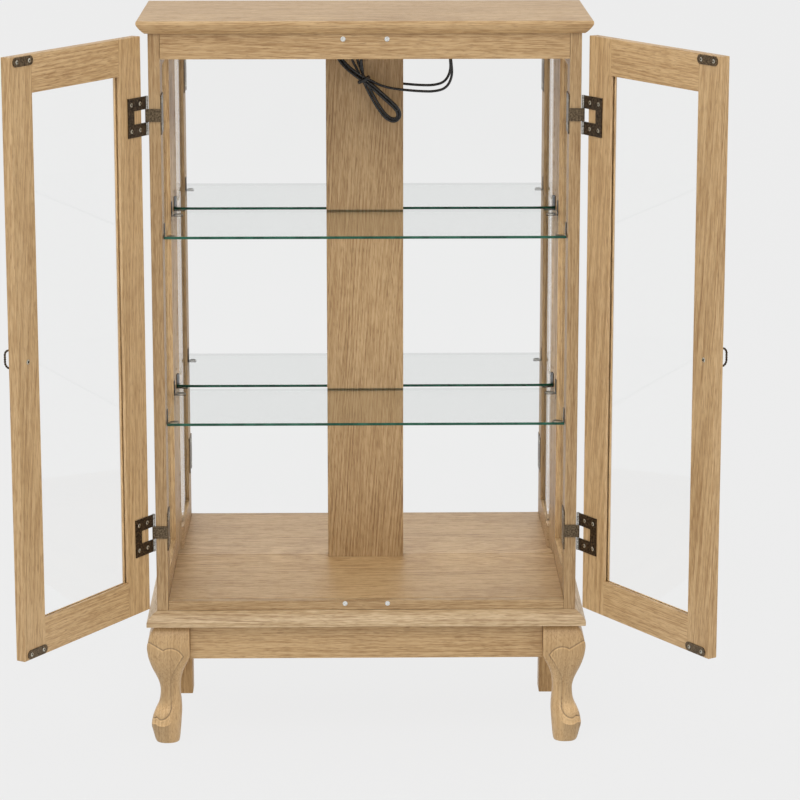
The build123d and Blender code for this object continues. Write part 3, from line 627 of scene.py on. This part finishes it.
# One turn of the figure of eight: the upper loop, the waist, the lower loop, the waist.
# Each entry: x, z, the way outwards (x, z), and how far forward the strand lies there.
TURN = [
    (-10.0, 927.0, (-0.70, -0.71), -1.0), (-26.0, 939.5, (-0.72, -0.69), -0.6), (-37.5, 953.5, (-0.92, -0.40), 0.0),
    (-40.5, 970.0, (-1.0, 0.05), 0.4), (-34.5, 983.5, (-0.75, 0.66), 0.4), (-22.0, 989.0, (0.0, 1.0), 0.0),
    (-9.0, 983.5, (0.72, 0.69), 0.0), (-4.5, 969.0, (1.0, 0.10), 0.2), (-6.5, 951.0, (0.98, -0.20), 0.6),
    (-4.5, 934.0, (0.97, -0.22), 1.0), (0.0, 918.5, (-0.87, -0.48), 1.0), (9.0, 900.0, (-0.86, -0.50), 0.8),
    (20.0, 880.5, (-0.84, -0.54), 0.5), (31.5, 865.8, (-0.62, -0.78), 0.2), (43.0, 861.0, (0.05, -1.0), 0.0),
    (50.0, 868.3, (0.98, -0.10), 0.0), (46.6, 878.8, (0.72, 0.69), -0.3), (35.0, 889.8, (0.68, 0.73), -0.6),
    (20.5, 903.0, (0.68, 0.73), -0.8), (4.5, 917.0, (0.68, 0.73), -1.0),
]
# Each round: how far out in the lower loop and in the upper loop, how far forward, and how
# far its right-hand upper strand and its top lie from the others.
ROUNDS = [
    (-2.1, -2.6, -2.0, 5.0, -2.0), (2.0, 2.2, -2.2, -1.0, 2.0), (-2.0, 1.8, 2.2, -8.0, -1.0), (2.2, -2.2, 2.4, -13.5, 3.0),
]


def hank_points():
    points = []
    for k, (low_out, high_out, forward, right, top) in enumerate(ROUNDS):
        for i, (x, z, (ox, oz), lie) in enumerate(TURN):
            out = high_out if i < 10 else low_out
            px, pz = x + ox * out, z + oz * out
            if 6 <= i <= 8:
                px += right * (0.55, 1.0, 0.8)[i - 6]
            if i == 9:
                px += right * 0.30
            if 4 <= i <= 6:
                pz += top * 0.5
            # the two ways across the waist pass one in front of the other
            py = 204.0 + lie * 4.2 + forward
            points.append((px, py, pz))
    return points


def last_leg():
    # up the left side of the upper loop and out to the connector
    return [(-9.0, 203.0, 926.5), (-25.0, 204.5, 938.0), (-35.0, 206.0, 953.0), (-36.2, 206.5, 968.0), (-34.5, 205.5, 980.0),
            (-35.5, 204.5, 990.0)]


cord_points = ROUTE + hank_points() + last_leg() + TAIL
curve = bpy.data.curves.new("power_cord_line", "CURVE")
curve.dimensions = "3D"
spline = curve.splines.new("NURBS")
spline.points.add(len(cord_points) - 1)
for point, (x, y, z) in zip(spline.points, cord_points):
    p = at(x, y, z)
    point.co = (p.x, p.y, p.z, 1.0)
spline.order_u = 3
spline.use_endpoint_u = True
curve.resolution_u = 8
curve.bevel_depth = 0.0019
curve.bevel_resolution = 5
curve.use_fill_caps = True
curve.materials.append(CORD)
cord = bpy.data.objects.new("power_cord_line", curve)
bpy.context.scene.collection.objects.link(cord)
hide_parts("power_cord", "cord_hank")
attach(cord, "case")


def measured_length():
    bare = curve.copy()
    bare.bevel_depth = 0.0
    holder = bpy.data.objects.new("measure", bare)
    bpy.context.scene.collection.objects.link(holder)
    mesh = bpy.data.meshes.new_from_object(holder.evaluated_get(bpy.context.evaluated_depsgraph_get()))
    co = np.array([tuple(v.co) for v in mesh.vertices])
    bpy.data.objects.remove(holder)
    bpy.data.meshes.remove(mesh)
    bpy.data.curves.remove(bare)
    return float(np.linalg.norm(np.diff(co, axis=0), axis=1).sum())


CORD_LENGTH = measured_length()
print("cord length", round(CORD_LENGTH, 4))

# the tie round the hank's waist: a flat band
tie = Builder()
loops = []
tilt = radians(28.0)
for k in range(48):
    angle = 2 * pi * k / 48
    ca, sa = cos(angle), sin(angle)
    along = 9.4 * math.copysign(abs(ca) ** 0.8, ca)
    deep = 9.6 * math.copysign(abs(sa) ** 0.8, sa)
    ring = []
    for m in range(10):
        b = 2 * pi * m / 10
        w = 1.9 * math.copysign(abs(cos(b)) ** 0.6, cos(b))
        t = 0.45 * sin(b)
        ax, ay = along + t * ca, deep + t * sa
        # along the band's turn, and w up the bundle
        x = -1.0 + ax * cos(tilt) - w * sin(tilt)
        z = 920.5 + ax * sin(tilt) + w * cos(tilt)
        ring.append(at(x, 204.0 + ay, z))
    loops.append(ring)
tie.rings(loops, closed=True)
TIE = tie.piece("cord_tie_band", [CLIP], "case", "clip_plastic", ["cord_tie"], sharp=60.0)

# connector on the cord's end: tapered strain relief, ribbed grip and metal barrel
plug = Builder()
sections = [(-64.0, 2.3), (-65.0, 2.8), (-68.0, 3.2), (-68.4, 2.7), (-69.4, 2.7), (-69.8, 3.4), (-71.2, 3.5), (-71.6, 2.9),
            (-72.6, 2.9), (-73.0, 4.0), (-74.0, 4.9), (-75.0, 5.0), (-76.0, 5.0), (-76.3, 4.6), (-77.0, 4.6), (-77.3, 5.0),
            (-78.3, 5.0), (-78.6, 4.6), (-79.3, 4.6), (-79.6, 5.0), (-80.6, 5.0), (-80.9, 4.6), (-81.6, 4.6), (-81.9, 5.0),
            (-84.6, 5.0), (-85.2, 4.5), (-85.3, 2.8)]
loops = [[at(x, 204.0 + r * cos(2 * pi * m / 32), 995.5 + r * sin(2 * pi * m / 32)) for m in range(32)] for x, r in sections]
plug.rings(loops, index=0)
barrel = [(-85.3, 2.75), (-94.4, 2.75), (-95.0, 2.4), (-95.0, 1.3), (-88.0, 1.25)]
loops = [[at(x, 204.0 + r * cos(2 * pi * m / 32), 995.5 + r * sin(2 * pi * m / 32)) for m in range(32)] for x, r in barrel]
plug.rings(loops, index=1)
PLUG = plug.piece("cord_connector", [RUBBER, NICKEL], "case", "cord_black", ["plug"], sharp=35.0)

softened("cord_clips", "case", CLIP, width=0.4)
softened("lamp_housing", "case", SHELL, width=0.5)
softened("lamp_lens", "case", DIFFUSER, width=0.3)

# ------------------------------------------------------------------ shelf supports, magnets
softened("shelf_supports", "case", SUPPORT, width=0.35)
softened("shelf_support_pads", "case", PAD, width=0.4)
softened("door_magnets", "case", NICKEL, width=0.5)

# ------------------------------------------------------------------ hinges and screws
softened("hinge_frame_leaves", "case", BRONZE, width=0.25)
softened("hinge_pins", "case", BRONZE, width=0.3)
for name in ("left", "right"):
    axis = at(PIVOT[0] if name == "left" else -PIVOT[0], PIVOT[1], 0.0)
    # faces round the pin take the light silver finish: painted highlight on the knuckles
    softened(name + "_door_hinge_leaves", name + "_door", [BRONZE_DARK, KNUCKLE_HIGHLIGHT], width=0.25,
             pick=lambda face, axis=axis: 1 if (face.calc_center_median().xy - axis.xy).length < 2.6 * MM else 0)
    softened(name + "_door_strike_plates", name + "_door", BRONZE, width=0.25)


def screw(builder, centre, out, radius, shank, depth, turn):
    """A domed, crosshead screw: out is the way its head faces."""
    out = out.normalized()
    side = out.cross(Vector((0, 0, 1)))
    side = side.normalized() if side.length > 0.1 else Vector((1, 0, 0))
    up = out.cross(side).normalized()
    around = 48
    radii = (0.0, 0.10, 0.20, 0.30, 0.38, 0.46, 0.54, 0.62, 0.72, 0.84, 0.94, 1.0)
    loops, slot_shade_marks = [], []
    for q in radii[1:]:
        r = q * radius
        loop, cut = [], []
        for k in range(around):
            angle = 2 * pi * k / around + turn
            x, y = r * cos(angle - turn), r * sin(angle - turn)
            arm = min(abs(x), abs(y)) < radius * 0.13 and max(abs(x), abs(y)) < radius * 0.56
            height = 0.30 * radius * (1 - q * q) * 0.55 + 0.04 * radius
            if arm:
                height -= radius * (0.46 - 0.35 * q)
            cut.append(arm)
            loop.append(centre + (side * (r * cos(angle)) + up * (r * sin(angle)) + out * height) * MM)
        loops.append(loop)
        slot_shade_marks.append(cut)
    base = len(builder.verts)
    builder.verts.append(centre + out * (-0.30 * radius * MM))
    for loop in loops:
        builder.verts += loop
    # the head's centre takes the dark finish: painted shade in the recess
    for k in range(around):
        j = (k + 1) % around
        builder.faces.append([base, base + 1 + k, base + 1 + j])
        builder.index.append(1)
    for n in range(len(loops) - 1):
        a, b = base + 1 + n * around, base + 1 + (n + 1) * around
        for k in range(around):
            j = (k + 1) % around
            # faces of the cross slot take the dark finish: painted shade in the slot
            dark = slot_shade_marks[n][k] or slot_shade_marks[n][j] or slot_shade_marks[n + 1][k] or slot_shade_marks[n + 1][j]
            builder.faces.append([a + k, b + k, b + j, a + j])
            builder.index.append(1 if dark else 0)
    # under the head, then the shank
    last = base + 1 + (len(loops) - 1) * around
    steps = [(radius, -0.12 * radius), (shank * 1.15, -0.55 * radius), (shank, -0.8 * radius), (shank, -depth), (0.15, -depth - 0.8)]
    previous = last
    for r, h in steps:
        start = len(builder.verts)
        for k in range(around):
            angle = 2 * pi * k / around + turn
            builder.verts.append(centre + (side * (r * cos(angle)) + up * (r * sin(angle)) + out * h) * MM)
        for k in range(around):
            j = (k + 1) % around
            builder.faces.append([previous + k, start + k, start + j, previous + j])
            builder.index.append(0)
        previous = start
    builder.faces.append([previous + k for k in range(around)])
    builder.index.append(0)


for side, name in ((-1, "left"), (1, "right")):
    back = Vector((-FX if side < 0 else FX, -FY, 0.0))
    fixings = Builder()
    count = 0
    for zc in HINGE_ZS:
        for dz in (-18.0, 18.0):
            for a in (15.5, 35.0):
                screw(fixings, at_door(side, a, -0.35, zc + dz), back, 2.9, 1.4, 8.6, 0.4 + 1.1 * count)
                count += 1
    for z in (207.75, 1000.25):
        for da in (-13.0, 13.0):
            screw(fixings, at_door(side, 269.0 + da, -0.2, z), back, 2.7, 1.4, 8.4, 0.3 + 0.7 * count)
            count += 1
    screw(fixings, at_door(side, 273.3, 0.8, 605.5), back, 3.3, 1.9, 12.5, 0.5)
    fixings.piece(name + "_door_fixings", [STEEL, SLOT_SHADE_AND_MIRROR_EDGE], name + "_door", "screw_steel", [name + "_door_screws"], sharp=42.0)

frame_fixings = Builder()
count = 0
for side in (-1, 1):
    for zc in HINGE_ZS:
        for dz in (-18.0, 18.0):
            for y in (10.0, 30.0):
                screw(frame_fixings, at(side * (279.0 - 1.6), y, zc + dz), Vector((-side, 0, 0)), 2.9, 1.4, 11.0, 0.2 + 0.9 * count)
                count += 1
frame_fixings.piece("hinge_frame_fixings", [STEEL, SLOT_SHADE_AND_MIRROR_EDGE], "case", "screw_steel", ["hinge_frame_screws"], sharp=42.0)

# ------------------------------------------------------------------ pulls
PULL_A, PULL_Z, BOW, REACH, TURN_R = 273.3, 605.5, 12.1, 39.2, 7.5


def pull_path():
    """Centre line of the bow, an open D: (f, z offset)."""
    points = [(15.8 + (REACH - TURN_R - 15.8) * k / 26, -BOW) for k in range(27)]
    for k in range(1, 20):
        angle = -pi / 2 + pi / 2 * k / 20
        points.append((REACH - TURN_R + TURN_R * cos(angle), -BOW + TURN_R + TURN_R * sin(angle)))
    straight = 2 * (BOW - TURN_R)
    points += [(REACH, -BOW + TURN_R + straight * k / 14) for k in range(15)]
    for k in range(1, 20):
        angle = pi / 2 * k / 20
        points.append((REACH - TURN_R + TURN_R * cos(angle), BOW - TURN_R + TURN_R * sin(angle)))
    points += [(REACH - TURN_R - (REACH - TURN_R - 15.8) * k / 26, BOW) for k in range(27)]
    return points


for side, name in ((-1, "left"), (1, "right")):
    pull = Builder()
    # oval backplate with a moulded rim
    profile = [(1.0, 0.0), (1.0, 0.5), (0.965, 0.95), (0.90, 1.15), (0.86, 0.95), (0.80, 0.98), (0.66, 1.35), (0.40, 1.6), (0.0001, 1.65)]
    loops = []
    for scale, rise in profile:
        loop = []
        for k in range(64):
            t = 2 * pi * k / 64
            lobe = 1.0 + 0.022 * cos(16 * t) * (1.0 if scale > 0.84 else 0.0)
            loop.append(at_door(side, PULL_A + 7.0 * scale * lobe * cos(t), 15.0 + rise, PULL_Z + 17.0 * scale * lobe * sin(t)))
        loops.append(loop)
    pull.rings(loops, index=0)
    # bow: a twisted rope between two collars
    path = pull_path()
    lengths = [0.0]
    for (f0, z0), (f1, z1) in zip(path, path[1:]):
        lengths.append(lengths[-1] + math.hypot(f1 - f0, z1 - z0))
    total = lengths[-1]
    loops = []
    for k, (f, z) in enumerate(path):
        before, after = path[max(0, k - 1)], path[min(len(path) - 1, k + 1)]
        df, dz = after[0] - before[0], after[1] - before[1]
        size = math.hypot(df, dz)
        df, dz = df / size, dz / size
        nf, nz = dz, -df          # across the bow, in its plane
        end = min(lengths[k], total - lengths[k])
        body_r = 1.32 + 0.35 * math.exp(-(end / 7.0) ** 2)
        collar = 1.0 * math.exp(-((end - 11.5) / 1.0) ** 2) + 0.55 * math.exp(-((end - 7.0) / 0.7) ** 2) + 1.3 * math.exp(-(end / 1.6) ** 2)
        rope = max(0.0, min(1.0, (end - 13.0) / 2.0))
        loop = []
        for m in range(36):
            angle = 2 * pi * m / 36
            twist = cos(2 * (angle + 2 * pi * lengths[k] / 6.4))
            r = body_r + collar + rope * 0.24 * math.copysign(abs(twist) ** 0.7, twist)
            r = min(r, 3.0)
            loop.append(at_door(side, PULL_A + r * sin(angle), f + nf * r * cos(angle), PULL_Z + z + nz * r * cos(angle)))
        loops.append(loop)
    pull.rings(loops, index=0)
    pull.piece(name + "_door_pull_cast", [BRONZE_DARK], name + "_door", "bronze", [name + "_door_pull"], sharp=50.0)

# ------------------------------------------------------------------ front legs
LEG = np.array([
    (0.0, -299.4, -267.0), (3.0, -300.9, -266.2), (8.0, -302.2, -265.5), (15.0, -303.9, -264.8),
    (24.0, -305.9, -264.0), (34.0, -305.0, -263.3), (45.0, -300.9, -262.7), (56.0, -295.6, -263.2),
    (67.0, -293.2, -264.3), (78.0, -292.8, -264.6), (89.0, -295.0, -263.8), (99.0, -298.8, -261.7),
    (108.0, -302.6, -259.0), (117.0, -305.6, -255.2), (126.0, -307.9, -251.2), (131.0, -308.9, -249.5),
    (142.6, -310.0, -249.5), (152.4, -308.4, -249.5), (163.7, -304.3, -249.5), (174.0, -297.2, -249.5)])
# corner radii of the leg's section, as parts of its width: the outer corner, the two side corners, the inner one
ROUND = np.array([
    (0.0, 0.45, 0.45, 0.45), (30.0, 0.45, 0.44, 0.42), (45.0, 0.43, 0.43, 0.40), (60.0, 0.40, 0.34, 0.34), (85.0, 0.36, 0.30, 0.32),
    (104.0, 0.30, 0.24, 0.24), (116.0, 0.22, 0.13, 0.12), (126.0, 0.16, 0.06, 0.06), (140.0, 0.14, 0.03, 0.03),
    (152.0, 0.12, 0.03, 0.02), (174.0, 0.09, 0.02, 0.02)])


def across_leg(z, part):
    """Place on the leg's face at a height, part of the way from its outer outline to its inner one."""
    outer, inner = (float(np.interp(z, LEG[:, 0], LEG[:, c])) for c in (1, 2))
    return (outer + part * (inner - outer), z)


# the raised knee and its tongue, and the ledge of the slipper, on the face: (height, part of the way across)
KNEE_SHAPE = [
    (151.5, 0.0), (149.6, 0.10), (144.6, 0.25), (139.6, 0.385), (141.4, 0.43), (142.6, 0.50), (142.8, 0.57), (141.9, 0.65),
    (138.6, 0.75), (131.4, 0.835), (122.8, 0.785), (111.5, 0.71), (97.2, 0.575), (82.6, 0.50), (71.0, 0.495), (58.0, 0.54),
    (49.0, 0.585), (42.5, 0.53), (38.0, 0.41), (36.6, 0.27), (38.8, 0.12), (43.0, 0.0)]
LEDGE_SHAPE = [(66.0, 1.0), (59.0, 0.93), (50.0, 0.85), (42.0, 0.785), (34.5, 0.71), (29.4, 0.61), (26.8, 0.46), (26.6, 0.27),
               (28.6, 0.12), (32.5, 0.0)]
KNEE = np.array([(-340.0, 151.5)] + [across_leg(z, part) for z, part in KNEE_SHAPE] + [(-340.0, 43.0)])
LEDGE = np.array([across_leg(z, part) for z, part in LEDGE_SHAPE] + [(-340.0, 32.5)])


def smooth_curve(table, column, z):
    """Catmull-Rom through a column of a table of heights."""
    zs, vs = table[:, 0], table[:, column]
    slopes = np.zeros(len(zs))
    slopes[1:-1] = (vs[2:] - vs[:-2]) / (zs[2:] - zs[:-2])
    slopes[0] = (vs[1] - vs[0]) / (zs[1] - zs[0])
    slopes[-1] = (vs[-1] - vs[-2]) / (zs[-1] - zs[-2])
    k = np.clip(np.searchsorted(zs, z, side="right") - 1, 0, len(zs) - 2)
    h = zs[k + 1] - zs[k]
    t = (z - zs[k]) / h
    return ((2 * t ** 3 - 3 * t ** 2 + 1) * vs[k] + (t ** 3 - 2 * t ** 2 + t) * h * slopes[k]
            + (-2 * t ** 3 + 3 * t ** 2) * vs[k + 1] + (t ** 3 - t ** 2) * h * slopes[k + 1])


def line_distance(points, line):
    best = np.full(len(points), 1e9)
    for a, b in zip(line[:-1], line[1:]):
        d = b - a
        t = np.clip(((points - a) @ d) / max(1e-9, float(d @ d)), 0.0, 1.0)
        best = np.minimum(best, np.linalg.norm(points - (a + t[:, None] * d), axis=1))
    return best


def inside(points, polygon):
    found = np.zeros(len(points), bool)
    x, y = points[:, 0], points[:, 1]
    for (x0, y0), (x1, y1) in zip(polygon, np.roll(polygon, -1, axis=0)):
        if y0 == y1:
            continue
        crosses = ((y0 > y) != (y1 > y)) & (x < (x1 - x0) * (y - y0) / (y1 - y0) + x0)
        found ^= crosses
    return found


def curl(line):
    """The same line, finely divided and rounded."""
    out = [line[0]]
    for _ in range(3):
        pts = line
        out = [pts[0]]
        for a, b in zip(pts[:-1], pts[1:]):
            out += [a * 0.75 + b * 0.25, a * 0.25 + b * 0.75]
        out.append(pts[-1])
        line = np.array(out)
    return line


KNEE_LINE = np.vstack([curl(KNEE[:5]), curl(KNEE[4:11])[1:], curl(KNEE[10:])[1:]])
LEDGE_LINE = curl(LEDGE)


def leg_grid():
    heights = np.unique(np.concatenate([np.linspace(0.0, 2.0, 5), np.arange(2.0, 173.6, 0.72), [174.0]]))
    rows = []
    for z in heights:
        outer = float(smooth_curve(LEG, 1, z))
        inner = float(smooth_curve(LEG, 2, z))
        w = inner - outer
        ro, rs, ri = (float(np.interp(z, ROUND[:, 0], ROUND[:, c])) * w for c in (1, 2, 3))
        pts, nrm = [], []

        def corner(cx, cy, r, a0, a1, n):
            for k in range(n):
                a = a0 + (a1 - a0) * k / n
                pts.append((cx + r * cos(a), cy + r * sin(a)))
                nrm.append((cos(a), sin(a)))

        def flat(p, q, normal, n):
            for k in range(n):
                t = k / n
                pts.append((p[0] + (q[0] - p[0]) * t, p[1] + (q[1] - p[1]) * t))
                nrm.append(normal)

        o, i = outer, inner
        # from the outer corner along the front face, round the inner faces, back along the side
        corner(o + ro, o + ro, ro, pi, 1.5 * pi, 24)
        flat((o + ro, o), (i - rs, o), (0, -1), 92)
        corner(i - rs, o + rs, rs, 1.5 * pi, 2 * pi, 14)
        flat((i, o + rs), (i, i - ri), (1, 0), 18)
        corner(i - ri, i - ri, ri, 0, 0.5 * pi, 10)
        flat((i - ri, i), (o + rs, i), (0, 1), 18)
        corner(o + rs, i - rs, rs, 0.5 * pi, pi, 14)
        flat((o, i - rs), (o, o + ro), (-1, 0), 92)
        rows.append((z, np.array(pts), np.array(nrm)))
    return rows


def carve(z, pts, nrm):
    """Depth of the carving below the leg's outline at each point of a section, and the painted shade and painted
    highlight laid on the wood there.
    """
    face = np.column_stack([np.maximum(pts[:, 0], pts[:, 1]), np.full(len(pts), z)])
    near = line_distance(face, KNEE_LINE)
    s = np.where(inside(face, KNEE_LINE), near, -near)
    # the line is cut sharply round the knee's top and the tongue's end, and softly between them
    sharp = float(np.interp(z, (0.0, 52.0, 66.0, 116.0, 130.0), (0.9, 0.9, 0.35, 0.35, 1.0)))
    # the block above and the band beside the knee lie deeper, and rise again away from the line
    step = np.clip((s + 0.7) / 1.4, 0.0, 1.0)
    step = step * step * (3 - 2 * step)
    deep = (1.5 + 0.4 * np.clip((z - 110.0) / 20.0, 0.0, 1.0)) * (0.45 + 0.55 * sharp)
    fade = np.exp(-np.maximum(near - 1.5, 0.0) / 9.0)
    drop = deep * (1 - step) * fade
    groove = 0.75 * sharp * np.exp(-((s + 1.0) / 0.75) ** 2)
    # the tongue's lower end is hollowed like a spoon
    low = float(np.exp(-((z - 48.0) / 9.5) ** 2))
    hollow = 2.2 * low * np.clip(s / 3.5, 0.0, 1.0)
    # the slipper's ledge
    ledge = line_distance(face, LEDGE_LINE)
    edge_z = np.interp(face[:, 0], LEDGE_LINE[::-1, 0], LEDGE_LINE[::-1, 1])
    above = z > edge_z
    outer = np.clip((0.5 - s) / 1.5, 0.0, 1.0)
    lip = np.where(above, 2.0 * np.exp(-ledge / 6.0) * np.clip(ledge / 1.6, 0.0, 1.0), 0.0) * outer
    total = drop + groove + hollow + lip
    outline = np.clip((pts[:, 0].max() - pts[:, 0]) / 2.5, 0.0, 1.0) * np.clip((pts[:, 1].max() - pts[:, 1]) / 2.5, 0.0, 1.0)
    blend = np.clip((0.35 - np.maximum(nrm[:, 0], nrm[:, 1])) / 0.35, 0.0, 1.0) * outline
    # nothing is cut from the outer outline above the knee, so it runs on smoothly there
    corner = np.clip((np.minimum(pts[:, 0], pts[:, 1]) - np.minimum(pts[:, 0], pts[:, 1]).min()) / 4.0, 0.25, 1.0)
    # painted shade along the groove outside the knee line, painted highlight on the raised edge inside it, and a
    # painted highlight in the spoon's hollow
    light = -0.50 * sharp * np.exp(-((s + 0.95) / 0.85) ** 2)
    light += 0.30 * sharp * np.exp(-((s - 0.75) / 0.8) ** 2) * (1.0 if z > 110.0 else 0.35)
    light += 0.34 * low * np.clip(s / 3.0, 0.0, 1.0)
    # painted highlight: a second, fine bright line round the tongue's end, then the slipper's upward upper face and
    # its edge, as if lit from above
    light += 0.30 * np.exp(-((s + 2.7) / 0.8) ** 2) * float(np.clip((58.0 - z) / 6.0, 0.0, 1.0))
    band = np.where(above, np.exp(-np.maximum(ledge - 4.0, 0.0) / 5.0), 0.0) * outer * float(np.clip((74.0 - z) / 14.0, 0.0, 1.0))
    light += 0.30 * band + 0.22 * np.where(above, np.exp(-(ledge / 0.9) ** 2), 0.0) * outer
    # painted shade on the slipper's front below the ledge
    light -= 0.15 * np.where(above, 0.0, np.exp(-ledge / 13.0))
    # the wood is a little darker down the shank than on the block
    light -= float(np.interp(z, (0.0, 100.0, 125.0, 140.0), (0.15, 0.15, 0.08, 0.06)))
    return total * blend * corner, light * blend


ROWS = leg_grid()
for side, name in ((-1, "left"), (1, "right")):
    leg = Builder()
    loops, lights = [], []
    for z, pts, nrm in ROWS:
        cut, light = carve(z, pts, nrm)
        moved = pts - nrm * cut[:, None]
        loops.append([at(x if side < 0 else -x, CASE_HALF + y, z) for x, y in moved])
        lights.append(light)
    leg.rings(loops)
    wood = oak(f"{name}_front_leg", "z", (0.10 * side, 0.09), (0.02, 0.03), 1.03, 0.35, grain_of(31 + side), fine=0.55, relief_painted_light=True)
    carved = leg.piece(name + "_front_leg_carved", [wood], "case", "oak", [name + "_front_leg"], sharp=70.0)
    # the carving's painted shade and painted highlight, stored on the leg's points for its material
    carved.data.attributes.new("relief_painted_light", "FLOAT", "POINT").data.foreach_set("value", np.concatenate(lights).astype(np.float32))


# ------------------------------------------------------------------ floor
floor_mesh = bpy.data.meshes.new("studio_floor")
floor_mesh.from_pydata([(-60, -60, 0), (60, -60, 0), (60, 60, 0), (-60, 60, 0)], [], [(0, 1, 2, 3)])
floor = bpy.data.objects.new("studio_floor", floor_mesh)
bpy.context.scene.collection.objects.link(floor)
g = Nodes("studio_floor")
pale = g.new("ShaderNodeBsdfDiffuse")
pale.inputs["Color"].default_value = (0.045, 0.045, 0.045, 1.0)
glow = g.new("ShaderNodeEmission")
glow.inputs["Color"].default_value = (1.0, 1.0, 1.0, 1.0)
glow.inputs["Strength"].default_value = 0.803
both = g.new("ShaderNodeAddShader")
g.put(both.inputs[0], pale.outputs[0])
g.put(both.inputs[1], glow.outputs[0])
g.put(g.output.inputs["Surface"], both.outputs[0])
floor_mesh.materials.append(g.material)
